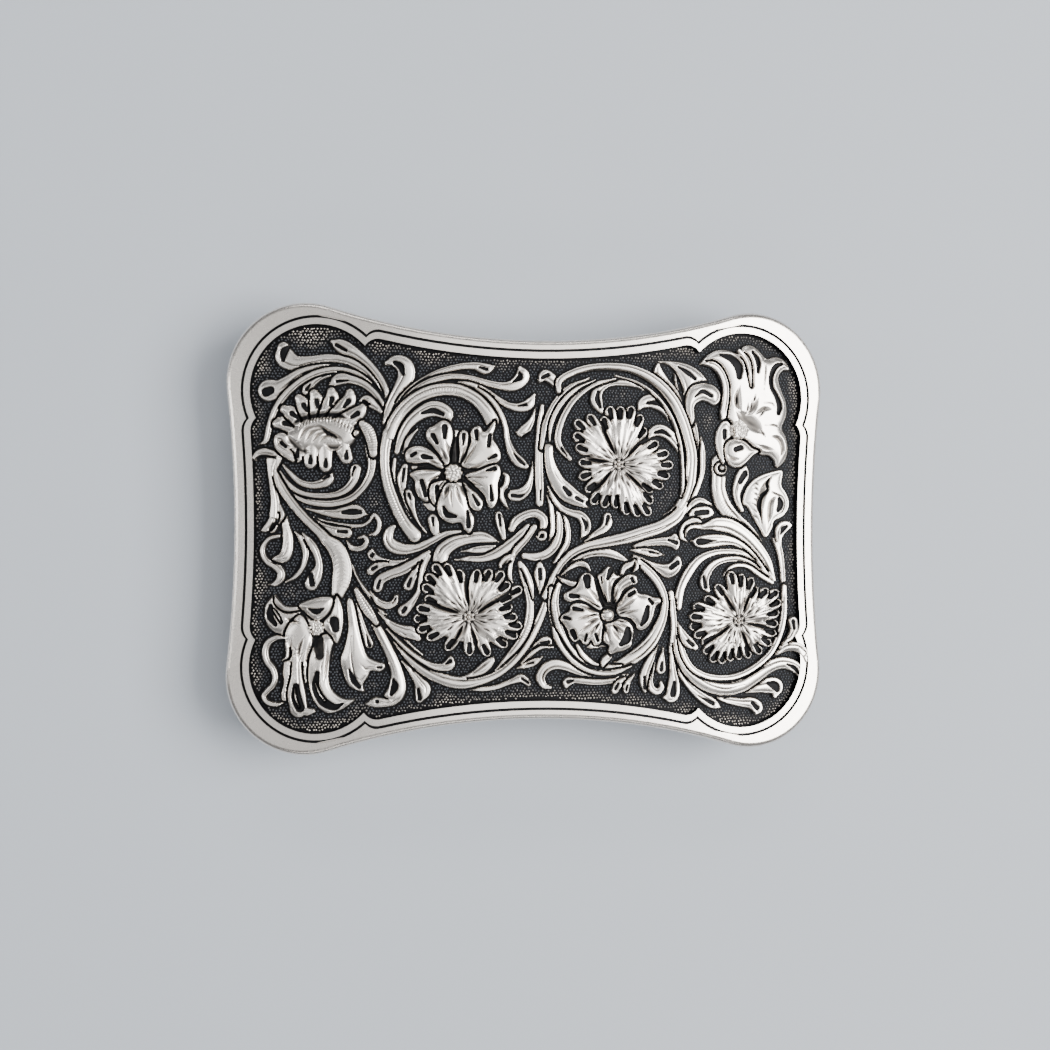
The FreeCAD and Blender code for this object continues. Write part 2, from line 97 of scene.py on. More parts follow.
# %% [markdown]
# A strand is drawn as a hand draws it: a few points along its middle and its half width at each.
# A Catmull-Rom curve passes through the points, so the list stays short. The distance inside the
# strand's edge, which every tool mark depends on, is the deepest that any disc along the curve
# covers a place.
# %% Curves and distances
STEP = 0.1  # spacing of the discs along a strand
OUTLINE_STEPS = 7  # points on an outline for each drawn one
THINNEST = 0.04  # a strand never gets thinner than this


def span(a, b, c, d, count):
    """The stretch of a Catmull-Rom curve from b to c, whose neighbours are a and d."""
    t = np.linspace(0, 1, count, endpoint=False)[:, None]
    return 0.5 * (2 * b + (c - a) * t + (2 * a - 5 * b + 4 * c - d) * t ** 2
                  + (3 * b - a - 3 * c + d) * t ** 3)


def curve(points, widths):
    """Discs along a Catmull-Rom curve: x, y, radius and distance from the root."""
    knots = np.array([(*p, w) for p, w in zip(points, widths)], dtype=float)
    knots = np.vstack([2 * knots[0] - knots[1], knots, 2 * knots[-1] - knots[-2]])
    knots[0, 2], knots[-1, 2] = knots[1, 2], knots[-2, 2]
    discs = []
    for a, b, c, d in zip(knots, knots[1:], knots[2:], knots[3:]):
        discs.append(span(a, b, c, d, max(2, int(np.hypot(*(c - b)[:2]) / STEP) + 1)))
    discs = np.vstack(discs + [knots[-2:-1]])
    run = np.concatenate([[0], np.cumsum(np.hypot(*np.diff(discs[:, :2], axis=0).T))])
    return discs[:, 0], discs[:, 1], np.maximum(discs[:, 2], THINNEST), run


def window(x, y, reach):
    """Slices of the grid that cover the points with a margin, and the places inside."""
    column = slice(max(0, int((x.min() - reach + HALF_WIDTH) / PITCH)),
                   int((x.max() + reach + HALF_WIDTH) / PITCH) + 2)
    row = slice(max(0, int((y.min() - reach + HALF_HEIGHT) / PITCH)),
                int((y.max() + reach + HALF_HEIGHT) / PITCH) + 2)
    return (row, column), *np.meshgrid(grid_x[column], grid_y[row])


def inside_strand(points, widths, margin):
    """Window, and for each place: distance inside the edge, distance along from the root, the
    strand's half width there and the signed distance from its middle; then the whole length."""
    x, y, radius, run = curve(points, widths)
    heading = np.arctan2(np.gradient(y), np.gradient(x))
    where, place_x, place_y = window(x, y, radius.max() + margin)
    depth = np.full(place_x.shape, -9.0)
    along, thick, across = np.zeros(depth.shape), np.ones(depth.shape), np.zeros(depth.shape)
    for disc_x, disc_y, disc_radius, disc_run, turn in zip(x, y, radius, run, heading):
        away_x, away_y = place_x - disc_x, place_y - disc_y
        covered = disc_radius - np.hypot(away_x, away_y)
        better = covered > depth
        depth[better] = covered[better]
        along[better] = disc_run
        thick[better] = disc_radius
        across[better] = (away_y * math.cos(turn) - away_x * math.sin(turn))[better]
    return where, depth, along, thick, across, run[-1]


def inside_outline(points, margin):
    """Window and distance inside a closed curve through the points, for broad petals."""
    drawn = np.array(points, dtype=float)
    neighbours = zip(*(np.roll(drawn, places, 0) for places in (1, 0, -1, -2)))
    ring = np.vstack([span(*four, OUTLINE_STEPS) for four in neighbours])
    where, x, y = window(ring[:, 0], ring[:, 1], margin)
    nearest = np.full(x.shape, 99.0)
    crossings = np.zeros(x.shape, dtype=int)
    for (ax, ay), (bx, by) in zip(ring, np.roll(ring, -1, 0)):
        t = ((x - ax) * (bx - ax) + (y - ay) * (by - ay)) / ((bx - ax) ** 2 + (by - ay) ** 2 + 1e-12)
        t = np.clip(t, 0, 1)
        nearest = np.minimum(nearest, np.hypot(x - ax - t * (bx - ax), y - ay - t * (by - ay)))
        if ay != by:
            crossings += ((ay > y) != (by > y)) & (x < (bx - ax) * (y - ay) / (by - ay) + ax)
    return where, np.where(crossings % 2 == 1, nearest, -nearest)


print("discs every", STEP, "mm along a strand,", OUTLINE_STEPS, "points to a stretch of an outline")

# %% [markdown]
# The tools. `lay` puts a strand down: its flank is steep, its edge carries a fine bright rim and
# its back is round, with one crease along it. `sheet` does the same for a broad petal drawn by its
# outline. Beyond its root a strand clears a narrow moat in whatever it crosses, which reads as the
# black line between strands. `pit` and `cut` sink a mark and keep it black, `fold` is a soft valley,
# and `beads` and `ticks` are the small punches that texture stamens and stems.
# %% The modelling tools
FLANK = 0.24  # how far in from the edge the full height is reached
RIM = 0.11  # how much higher the rim stands than the back
MOAT = 0.26  # how far outside its edge a strand clears what it crosses
MOAT_FLOOR = 0.02
EDGE = -0.06  # the distance inside the drawn edge where a strand's metal starts
FULLER = 0.05  # what the metal spreads past the drawn half width
SHOULDER = 0.45  # the height at a strand's edge, as a share of its height in the middle
LEAST = 0.06  # the metal that a pit or a fold leaves at its bottom


def settle(where, depth, along, body, rim, root):
    """Puts a shape with known heights and inside distances on the wax."""
    target, owned, black = height[where], owner[where], stain_and_shade[where]
    body = body * smooth((depth + 0.08) / FLANK)
    body = body + rim * np.exp(-((depth - 0.2) / 0.11) ** 2) * (depth > -0.1)
    joined = along < root
    moat = (depth <= EDGE) & (depth > -MOAT) & ~joined
    target[moat] = np.minimum(target[moat], MOAT_FLOOR)
    owned[moat] = 0
    on = depth > EDGE
    fresh = on & (~joined | (body > target))
    target[fresh] = body[fresh]
    owned[fresh] = len(plants) - 1
    black[on & ~joined] = 0.0
    return fresh


def lay(points, widths, top=0.62, rim=RIM, crown=0.3, root=0.8, crease=0.36):
    """A strand from its root to its tip: a round back with one fine crease along it."""
    widths = [width + FULLER * (width > 0.2) for width in widths]
    where, depth, along, thick, across, length = inside_strand(points, widths, MOAT + 0.1)
    share = np.clip(depth / thick, 0, 1)
    middle = top * (1 - SHOULDER) + crown * np.minimum(thick, 0.9)
    body = top * SHOULDER + middle * np.sqrt(1 - (1 - share) ** 2)
    fresh = settle(where, depth, along, body, rim, root)
    if crease:
        line = np.exp(-((across - crease * thick) / 0.1) ** 2) * smooth((thick - 0.36) / 0.12)
        line = line * smooth(along / 1.6) * smooth((length - along - 0.4) / 1.6) * (fresh & (depth > 0.1))
        height[where] -= 0.15 * line
        stain_and_shade[where] = np.maximum(stain_and_shade[where], 0.85 * line)


def sheet(points, top=0.7, rim=RIM, crown=0.28, root=0.0):
    """A broad petal or leaf, drawn by its outline; with a root it only fills what is lower."""
    where, depth = inside_outline(points, MOAT + 0.1)
    body = top * SHOULDER + (top * (1 - SHOULDER) + crown) * (1 - np.exp(-np.maximum(depth, 0) / 0.55))
    settle(where, depth, np.full(depth.shape, 9.0), body, rim, root)


def carve(where, amount, black):
    """Lowers the wax by an amount and stains it, but leaves a thin skin of metal."""
    height[where] = np.maximum(height[where] - amount, np.minimum(height[where], LEAST))
    stain_and_shade[where] = np.maximum(stain_and_shade[where], black)


def pit(points, widths, sink=0.42, black=1.0):
    """A hollow with steep walls, blackened inside."""
    if np.ndim(widths) == 0:
        widths = [widths] * len(points)
    where, depth, *_ = inside_strand(points, widths, 0.2)
    carve(where, sink * smooth((depth + 0.04) / 0.2), black * smooth((depth + 0.02) / 0.12))


def fold(points, width=0.45, sink=0.32, black=0.65):
    """A soft valley in a petal, dark at its bottom."""
    widths = [0.06] + [width] * (len(points) - 2) + [0.06]
    where, depth, _, thick, *_ = inside_strand(points, widths, 0.1)
    valley = smooth(depth / thick) * smooth(thick / width)
    carve(where, sink * valley, black * valley)


def cut(points, width=0.09, sink=0.22, black=0.9):
    """A graver's line that swells from nothing and fades out."""
    widths = [0.03] + [width] * (len(points) - 2) + [0.03]
    pit(points, widths, sink, black)


def beads(cx, cy, radius, size=0.2, top=0.55, count=3):
    """Stamens: rings of small beads round a middle one."""
    for ring in range(count):
        reach = radius * ring / max(count - 1, 1)
        number = 1 if ring == 0 else int(2 * math.pi * reach / (2.3 * size))
        for k in range(number):
            angle = 2 * math.pi * (k + 0.5 * ring) / number
            x, y = cx + reach * math.cos(angle), cy + reach * math.sin(angle)
            where, depth, *_ = inside_strand([(x, y), (x + 0.01, y)], [size, size], 0.1)
            dome = top + 0.22 * smooth((depth + 0.02) / size)
            raised = depth > -0.02
            height[where][raised] = dome[raised]
            owner[where][raised] = len(plants) - 1
            stain_and_shade[where][raised] = 0.0


def ticks(points, length, spacing=0.42, width=0.07):
    """Short cross cuts along a stem, as a veining tool leaves them."""
    x, y, _, run = curve(points, [0.1] * len(points))
    for at in np.arange(spacing / 2, run[-1], spacing):
        px, py = np.interp(at, run, x), np.interp(at, run, y)
        qx, qy = np.interp(at + 0.1, run, x), np.interp(at + 0.1, run, y)
        angle = math.atan2(qy - py, qx - px) + math.pi / 2
        half = (math.cos(angle) * length / 2, math.sin(angle) * length / 2)
        pit([(px - half[0], py - half[1]), (px + half[0], py + half[1])], width, 0.16, 0.75)


print("a strand's rim stands", RIM, "mm up, and its moat is", MOAT, "mm wide")

# %% [markdown]
# The plant at the left edge: a trunk comes down from a cut end, throws its fronds under the side-on
# carnation and turns into the ribbed stem of the lower lily. Fronds are laid from the back of the
# plant to its front, so each clears the one before.
# %% Left trunk and its fronds
plant("fronds_left")
lay([(-33.3, 3.0), (-31.5, 2.55), (-29.3, 2.25), (-27.4, 2.4), (-25.9, 2.5), (-24.4, 2.1)],
    [0.12, 0.3, 0.6, 0.95, 1.0, 0.1])
pit([(-28.0, 2.4), (-26.8, 2.5), (-25.5, 2.45)], [0.3, 0.5, 0.35])
lay([(-33.5, 2.2), (-31.6, 1.1), (-29.5, 0.7), (-27.3, 0.5), (-25.4, 0.5), (-24.2, 1.1), (-23.5, 2.1),
     (-22.9, 1.5), (-22.7, 0.5), (-23.2, -0.6), (-24.3, -0.8)],
    [0.1, 0.4, 0.4, 0.3, 0.25, 0.25, 0.28, 0.35, 0.35, 0.35, 0.12])
lay([(-27.4, -1.75), (-26.8, -2.6), (-25.9, -2.9), (-25.0, -2.6), (-24.5, -1.8), (-24.9, -1.1),
     (-25.7, -1.3)],
    [0.15, 0.35, 0.4, 0.4, 0.35, 0.3, 0.2])
lay([(-33.0, 1.9), (-31.3, 0.5), (-29.5, -0.2), (-28.0, -0.5), (-27.3, -0.55)], [0.1, 0.5, 0.7, 0.8, 0.72])
pit([(-28.7, -0.35), (-27.5, -0.4)], [0.25, 0.32])
lay([(-36.6, 7.2), (-35.6, 5.6), (-34.0, 4.4), (-32.0, 3.8), (-29.5, 3.7), (-27.0, 4.4), (-25.3, 5.8),
     (-24.2, 7.6), (-23.8, 9.5), (-24.0, 11.5), (-24.3, 13.2), (-25.0, 14.9)],
    [0.15, 0.35, 0.4, 0.45, 0.5, 0.5, 0.5, 0.55, 0.6, 0.65, 0.7, 0.55])
ticks([(-24.1, 8.2), (-23.9, 10.0), (-24.1, 12.0), (-24.8, 14.4)], 0.6)
lay([(-37.1, 8.4), (-35.6, 6.3), (-33.8, 5.2), (-31.5, 4.85), (-29.2, 5.0), (-27.5, 5.8), (-26.4, 7.2),
     (-26.1, 8.7), (-25.3, 8.7)], [0.12, 0.35, 0.35, 0.38, 0.42, 0.55, 0.65, 0.75, 0.1])
pit([(-26.7, 7.8), (-26.3, 9.0)], [0.15, 0.28])
lay([(-36.9, 9.6), (-35.7, 8.2), (-34.3, 6.9), (-32.8, 6.4), (-31.2, 6.6), (-30.1, 7.2), (-29.5, 8.1)],
    [0.15, 0.32, 0.42, 0.5, 0.62, 0.78, 0.15])
pit([(-30.9, 7.3), (-30.1, 7.75)], [0.2, 0.32])
lay([(-36.9, -1.0), (-38.6, -1.4), (-39.5, -2.5), (-39.6, -3.7), (-38.9, -4.8), (-37.8, -5.4), (-37.0, -6.2),
     (-37.0, -7.2), (-37.8, -8.0), (-38.7, -8.15)],
    [0.25, 0.3, 0.38, 0.42, 0.45, 0.55, 0.62, 0.58, 0.38, 0.1])
sheet([(-36.9, 1.2), (-36.2, 2.2), (-35.6, 0.5), (-35.1, -1.2), (-35.1, -3.0), (-35.5, -4.3), (-36.3, -4.95),
       (-37.6, -4.9), (-38.3, -4.3), (-37.2, -3.5), (-36.8, -2.2), (-36.8, -0.5)], top=0.75)
cut([(-36.2, 0.6), (-36.0, -1.4), (-36.7, -3.4)])
cut([(-35.9, -2.0), (-36.1, -3.2), (-36.9, -4.2)])
lay([(-34.9, -0.4), (-33.9, -1.6), (-33.4, -3.0), (-33.4, -4.3), (-33.9, -5.8), (-34.9, -7.0), (-36.3, -7.8)],
    [0.15, 0.45, 0.5, 0.42, 0.35, 0.3, 0.1])
lay([(-33.8, -0.6), (-32.5, -2.2), (-31.7, -3.8), (-31.4, -5.4), (-31.9, -6.9), (-32.5, -8.0)],
    [0.2, 0.55, 0.52, 0.55, 0.95, 1.0])
pit([(-32.6, -6.7), (-32.4, -8.0)], [0.4, 0.5])
plant("trunk_left")
lay([(-37.9, 10.6), (-38.3, 8.5), (-38.1, 6.0), (-37.8, 3.8), (-37.9, 1.8), (-38.4, 0.3)],
    [1.2, 0.7, 0.55, 0.7, 0.85, 0.95], root=0.0)
lay([(-37.9, 2.4), (-38.5, 0.8), (-39.2, 0.0), (-40.0, -0.35)], [0.4, 0.6, 0.5, 0.1])
pit([(-38.0, 0.7), (-38.4, -0.1)], [0.25, 0.35])
lay([(-37.2, 3.4), (-36.7, 2.0), (-37.2, 0.8)], [0.3, 0.3, 0.12])
lay([(-38.0, 8.6), (-37.1, 6.4), (-35.9, 4.5), (-34.4, 2.6), (-32.8, 0.9), (-31.2, -0.6), (-30.2, -1.8)],
    [0.3, 0.6, 0.62, 0.62, 0.62, 0.7, 0.85])
cut([(-36.2, 5.9), (-34.4, 3.8), (-32.4, 2.0), (-31.0, 0.9)], 0.1)
lay([(-30.3, -1.6), (-29.0, -2.8), (-28.3, -4.2), (-28.0, -5.9), (-28.2, -7.6), (-28.7, -9.4)],
    [0.8, 1.2, 1.32, 1.4, 1.35, 0.95], top=0.68, crease=0)
for step in range(11):
    share = step / 10
    mid = (-29.3 + 1.45 * math.sin(1.5 * share + 0.3), -2.5 - 6.2 * share)
    cut([(mid[0] - 0.9, mid[1] - 0.35), (mid[0], mid[1] + 0.2), (mid[0] + 0.85, mid[1] - 0.25)], 0.07, 0.14, 0.6)

# %% [markdown]
# The lower lily hangs from the ribbed stem. Its petals are broad, so they are drawn by outline,
# hollowed along their middles, with the turned-over lips laid on last.
# %% Lower lily
plant("lily_left")
sheet([(-37.8, -9.7), (-39.0, -10.7), (-39.4, -12.3), (-39.0, -14.0), (-38.0, -15.1), (-36.5, -15.6),
       (-34.9, -15.6), (-34.0, -14.0), (-33.9, -12.4), (-34.8, -11.5), (-36.4, -11.6), (-37.3, -11.0)])
pit([(-38.4, -11.3), (-38.5, -12.7), (-37.7, -13.9)], [0.4, 0.6, 0.4])
lay([(-38.0, -11.8), (-37.4, -12.7), (-36.9, -13.6)], [0.1, 0.16, 0.08], top=0.55, root=0)
sheet([(-34.6, -13.0), (-36.4, -15.2), (-36.5, -19.0), (-36.2, -22.4), (-34.8, -23.0), (-33.2, -22.0),
       (-31.4, -23.4), (-30.0, -21.0), (-29.2, -16.6), (-30.2, -13.8), (-32.2, -12.8)], top=0.6, rim=0.0)
lay([(-33.2, -11.3), (-34.8, -11.6), (-36.3, -11.6), (-37.4, -10.7), (-37.8, -9.7)],
    [0.2, 0.32, 0.36, 0.4, 0.12], top=0.8)
sheet([(-33.9, -12.5), (-35.4, -13.4), (-36.3, -15.0), (-36.4, -17.0), (-36.6, -20.0), (-36.9, -23.0),
       (-36.6, -25.2), (-34.0, -24.0), (-32.6, -21.0), (-31.8, -18.0), (-32.6, -14.8)], top=0.66, crown=0.15)
pit([(-37.4, -17.0), (-37.2, -18.2)], [0.95, 0.8], sink=0.7)
pit([(-36.9, -20.6), (-37.0, -22.4), (-37.5, -24.6)], [0.35, 0.55, 0.55], sink=0.7)
lay([(-36.2, -15.9), (-37.7, -15.9), (-38.8, -16.7), (-39.2, -18.0), (-38.9, -19.3), (-38.1, -20.4),
     (-37.75, -21.6), (-38.0, -22.7), (-38.9, -23.7), (-39.4, -24.5), (-38.7, -25.4), (-37.5, -25.6),
     (-36.6, -25.4)],
    [0.2, 0.4, 0.5, 0.52, 0.5, 0.5, 0.45, 0.42, 0.42, 0.38, 0.36, 0.32, 0.12], top=0.75)
lay([(-36.1, -16.6), (-35.9, -18.4), (-36.7, -19.2)], [0.25, 0.3, 0.1], top=0.7)
sheet([(-32.9, -19.5), (-32.9, -22.5), (-32.4, -24.5), (-31.4, -26.1), (-30.0, -26.9), (-28.4, -26.5),
       (-27.0, -25.7), (-26.2, -24.8), (-27.5, -24.7), (-28.7, -24.1), (-29.7, -22.8), (-29.9, -20.5),
       (-29.6, -18.0), (-29.1, -15.9), (-30.0, -15.2), (-31.5, -15.8), (-32.4, -17.5)])
pit([(-31.6, -21.0), (-31.8, -23.0), (-30.8, -25.0), (-29.2, -25.9), (-27.9, -25.4)],
    [0.4, 0.65, 0.75, 0.55, 0.2], sink=0.5)
pit([(-31.5, -16.2), (-31.3, -18.4)], [0.9, 0.7], sink=0.35, black=0.8)
cut([(-30.6, -18.4), (-31.0, -20.2), (-30.9, -22.2)], 0.12)
cut([(-31.6, -19.0), (-31.7, -20.6), (-32.1, -22.0)], 0.1)
lay([(-31.9, -22.6), (-31.3, -24.0), (-30.6, -25.0)], [0.06, 0.12, 0.06], top=0.5, root=0)
lay([(-34.6, -18.6), (-34.6, -21.5), (-34.6, -24.0), (-34.3, -26.2)], [0.65, 0.8, 1.3, 1.3], top=0.8)
lay([(-34.0, -26.4), (-33.0, -26.6), (-32.2, -26.5)], [0.7, 0.6, 0.35], top=0.8, root=1.2)
pit([(-34.7, -22.9), (-34.6, -24.6), (-34.1, -26.0)], [0.5, 0.82, 0.72], sink=0.5)
lay([(-34.9, -23.3), (-34.8, -24.6), (-34.3, -25.9)], [0.06, 0.14, 0.06], top=0.45, root=0)
cut([(-33.3, -17.6), (-34.0, -18.6), (-34.6, -20.4)], 0.12)
cut([(-35.4, -16.8), (-34.7, -17.6), (-34.1, -17.4)], 0.1)
sheet([(-28.8, -9.6), (-28.0, -11.2), (-27.8, -13.2), (-28.1, -15.4), (-28.8, -16.8), (-29.6, -15.6),
       (-30.6, -14.6), (-30.7, -13.4), (-29.7, -12.2), (-29.3, -10.8)])
pit([(-29.2, -13.4), (-29.0, -14.5)], [0.75, 0.6])
sheet([(-34.4, -11.1), (-33.0, -10.3), (-31.0, -9.8), (-29.5, -9.9), (-29.4, -11.0), (-30.0, -12.3),
       (-31.0, -13.2), (-32.0, -13.3), (-33.3, -12.3)], top=0.8)
pit([(-32.9, -11.6), (-31.8, -12.0), (-30.8, -11.6)], [0.2, 0.5, 0.2])
fold([(-33.4, -15.4), (-34.2, -17.4), (-34.4, -19.6)], 0.4)
fold([(-32.6, -15.6), (-33.0, -18.2), (-33.6, -21.0)], 0.34)
fold([(-36.2, -13.2), (-35.2, -13.4), (-33.8, -13.8)], 0.34)
fold([(-30.2, -16.4), (-30.2, -19.6), (-30.8, -22.8)], 0.34)
fold([(-35.3, -15.6), (-35.6, -18.0), (-35.9, -20.6)], 0.3)
fold([(-32.6, -14.8), (-31.8, -16.6), (-31.2, -19.0)], 1.0, 0.3, 0.85)
fold([(-34.6, -12.6), (-35.6, -13.2), (-36.4, -12.8)], 0.5, 0.25)
beads(-31.8, -14.4, 0.95, 0.24)

# %% [markdown]
# Between the lily and the ring of the lower carnation stand long spear leaves. Their tips fork or
# roll into an eye, which is a disc with a round pit in it.
# %% Spear leaves beside the lower lily
plant("leaves_left")
lay([(-26.6, -5.2), (-25.9, -7.0), (-24.9, -8.6), (-23.4, -10.5), (-22.0, -12.4), (-20.0, -14.9),
     (-18.0, -16.9), (-16.4, -18.3)],
    [0.1, 0.2, 0.25, 0.25, 0.25, 0.22, 0.2, 0.1])
lay([(-26.3, -9.3), (-25.7, -12.0), (-24.9, -14.6), (-24.1, -16.7)], [0.12, 0.35, 0.45, 0.62])
pit([(-24.5, -15.4), (-24.05, -17.0)], [0.14, 0.3])
sheet([(-23.9, -13.6), (-22.4, -17.0), (-21.4, -19.5), (-21.0, -21.3), (-21.3, -22.9), (-22.0, -24.2),
       (-21.4, -24.7), (-22.4, -24.5), (-23.4, -24.5), (-24.7, -25.5), (-23.4, -26.0), (-22.0, -26.0),
       (-20.4, -25.7), (-19.1, -24.6), (-18.7, -22.6), (-19.4, -19.9), (-20.8, -16.9), (-22.9, -13.2)])
pit([(-20.6, -21.9), (-20.4, -22.9), (-20.9, -24.0)], [0.25, 0.62, 0.35])
pit([(-23.0, -25.1), (-22.9, -25.1)], [0.32, 0.32])
cut([(-22.2, -16.2), (-20.9, -18.8), (-20.2, -20.8)], 0.08)
lay([(-26.0, -8.9), (-25.2, -10.4), (-24.2, -12.0), (-23.1, -13.6)], [0.4, 0.62, 0.7, 0.4], root=0)
ticks([(-25.9, -9.2), (-25.2, -10.4), (-24.2, -12.0), (-23.4, -13.2)], 1.0)
sheet([(-27.4, -10.5), (-27.0, -10.0), (-26.5, -10.3), (-26.0, -12.0), (-25.6, -14.0), (-25.0, -16.5),
       (-24.3, -18.4), (-23.0, -19.2), (-21.9, -19.5), (-21.8, -20.3), (-22.6, -20.8), (-23.8, -20.7),
       (-24.2, -21.5), (-24.9, -22.6), (-24.8, -23.7), (-25.9, -23.5), (-27.1, -22.8), (-27.9, -21.0),
       (-28.3, -19.0), (-27.7, -17.0), (-27.2, -14.5), (-27.3, -12.5)], top=0.72)
pit([(-27.0, -20.4), (-26.4, -21.9), (-25.6, -22.9)], [0.2, 0.5, 0.4])
pit([(-22.9, -20.1), (-22.4, -20.1)], [0.22, 0.24])
cut([(-26.7, -15.6), (-26.7, -18.6), (-26.2, -21.2), (-25.4, -22.0)], 0.14)
cut([(-25.4, -19.6), (-24.6, -20.3), (-23.6, -20.2)], 0.14)
lay([(-24.0, -9.0), (-22.9, -10.5), (-21.6, -11.1), (-20.5, -10.7), (-20.2, -9.8)],
    [0.12, 0.45, 0.55, 0.5, 0.32])
pit([(-20.8, -10.8), (-20.3, -10.1)], [0.12, 0.18])
lay([(-22.8, -12.1), (-20.9, -13.9), (-19.2, -14.8), (-17.9, -15.1), (-17.0, -15.9)],
    [0.12, 0.5, 0.82, 0.9, 0.4])
cut([(-19.9, -14.7), (-19.0, -15.3), (-18.0, -15.4)], 0.12)

# %% [markdown]
# The knot at the middle is a ribbon that loops over itself. The order of laying makes the weave:
# the strand that passes underneath is laid first.
# %% Middle knot and the fronds to its left
plant("knot")
lay([(-15.5, -3.3), (-17.5, -4.3), (-19.5, -4.8), (-21.5, -4.75), (-22.9, -4.35), (-23.8, -3.7),
     (-23.7, -2.9)],
    [0.3, 0.35, 0.38, 0.38, 0.5, 0.62, 0.2])
pit([(-23.8, -3.9), (-23.6, -3.6)], [0.35, 0.3])
lay([(-20.5, -5.2), (-22.0, -5.15), (-23.2, -5.5), (-23.9, -6.1)], [0.2, 0.38, 0.6, 0.62])
pit([(-23.7, -5.85), (-23.1, -5.45)], [0.3, 0.25])
lay([(-15.9, -3.7), (-17.7, -5.0), (-19.5, -6.0), (-21.2, -6.6), (-22.5, -7.4), (-22.9, -8.5)],
    [0.45, 0.7, 0.75, 0.7, 0.75, 0.7])
pit([(-22.6, -7.5), (-22.9, -8.5)], [0.25, 0.32])
lay([(-11.0, -0.3), (-13.0, -0.6), (-15.0, -1.6), (-17.0, -2.6), (-19.0, -2.9), (-20.6, -2.5), (-21.4, -1.5),
     (-21.2, -0.3), (-20.6, 0.4)], [0.25, 0.4, 0.52, 0.6, 0.8, 0.95, 0.8, 0.65, 0.35])
cut([(-21.5, -0.2), (-21.6, -1.7), (-20.8, -3.0)], 0.13)
cut([(-20.9, -0.6), (-20.95, -1.6), (-20.3, -2.5)], 0.1)
cut([(-19.8, -2.9), (-17.6, -2.9), (-15.8, -2.2), (-14.0, -1.2)], 0.08)
lay([(-10.8, -3.2), (-8.5, -2.95), (-6.5, -2.75), (-5.0, -2.4)], [0.1, 0.5, 0.5, 0.2], top=0.38)
lay([(-11.7, -4.4), (-9.7, -4.3), (-7.7, -4.25), (-5.8, -3.6), (-4.0, -2.4), (-2.4, -1.1), (-1.0, 0.3)],
    [0.1, 0.4, 0.5, 0.68, 0.75, 0.72, 0.62], root=0)
lay([(-13.9, -4.6), (-13.5, -3.2), (-12.0, -2.0), (-10.0, -1.4), (-8.0, -1.1), (-6.5, -1.4), (-5.3, -1.8)],
    [1.1, 1.1, 0.95, 0.75, 0.85, 0.5, 0.1], root=0)
cut([(-14.7, -4.3), (-13.9, -2.9), (-12.7, -1.8)], 0.1)
cut([(-14.2, -4.6), (-13.3, -3.1), (-12.0, -2.2), (-10.6, -1.7)], 0.08)
lay([(1.6, -3.6), (0.0, -4.0), (-1.6, -3.8)], [0.55, 0.62, 0.5])
lay([(-0.1, 0.4), (-1.2, -1.3), (-2.4, -2.6), (-3.2, -3.8), (-3.6, -5.2), (-3.7, -6.8), (-3.3, -7.8)],
    [0.45, 0.45, 0.5, 0.42, 0.36, 0.35, 0.15], root=0)
lay([(-3.2, -3.7), (-4.2, -4.3), (-4.9, -5.0), (-5.2, -5.9)], [0.3, 0.5, 0.42, 0.1])
pit([(-4.1, -4.6), (-4.8, -5.3)], [0.12, 0.18])
lay([(-3.5, 0.1), (-2.8, 1.3), (-1.3, 2.2), (0.1, 2.4), (1.1, 1.7), (1.25, 0.7), (0.8, -0.2)],
    [0.5, 0.68, 0.62, 0.66, 0.66, 0.58, 0.3], top=0.85, root=0)
cut([(-2.9, 0.6), (-1.9, 1.6), (-0.6, 2.0), (0.3, 1.8)], 0.09)
lay([(-4.6, -1.2), (-4.9, 0.0), (-5.2, 1.2), (-5.4, 2.2)], [0.35, 0.55, 0.65, 0.5])
pit([(-5.3, 2.1), (-5.1, 0.6)], [0.3, 0.2])
lay([(0.2, -1.0), (0.7, -1.4), (1.4, -1.3), (1.5, -0.5), (0.8, -0.4), (0.5, -1.0)],
    [0.12, 0.24, 0.24, 0.24, 0.24, 0.2])
pit([(1.0, -0.85), (1.01, -0.85)], [0.24, 0.24], sink=0.6)

# %% [markdown]
# From the knot a straight stem goes up and splits into the two upper rings, and two bows go down
# to the lower ones.
# %% Middle stem
plant("stem_middle")
lay([(3.6, 2.8), (4.5, 1.4), (4.9, -0.2), (4.8, -1.8), (4.0, -3.3), (2.9, -4.8)],
    [0.2, 0.38, 0.42, 0.42, 0.42, 0.25])
cut([(4.6, 0.9), (4.6, -0.6), (4.2, -2.2)], 0.07)
lay([(3.1, 3.4), (3.6, 1.2), (3.5, -0.8), (2.9, -2.4), (1.6, -3.6), (0.0, -4.0), (-1.6, -3.8)],
    [0.25, 0.48, 0.6, 0.65, 0.68, 0.62, 0.45])
cut([(2.6, -2.9), (1.0, -3.9), (-0.8, -3.9)], 0.07)
lay([(2.0, 5.4), (2.4, 3.0), (2.6, 1.0), (2.5, -0.5), (2.1, -1.6)], [0.25, 0.38, 0.38, 0.36, 0.12])
lay([(-0.2, 10.5), (-0.5, 8.5), (-0.8, 7.0), (-1.4, 5.8), (-2.4, 5.1), (-3.2, 5.05)],
    [0.12, 0.3, 0.45, 0.75, 0.92, 0.85])
pit([(-3.4, 5.0), (-2.3, 4.9), (-1.6, 5.2)], [0.32, 0.3, 0.12])
cut([(-0.7, 7.6), (-1.2, 6.2), (-2.2, 5.6)], 0.08)
lay([(0.0, 18.0), (-0.6, 16.0), (-1.8, 14.4), (-2.9, 14.3)], [0.12, 0.45, 0.8, 0.1])
pit([(-0.9, 14.3), (-1.7, 13.6)], [0.16, 0.3])
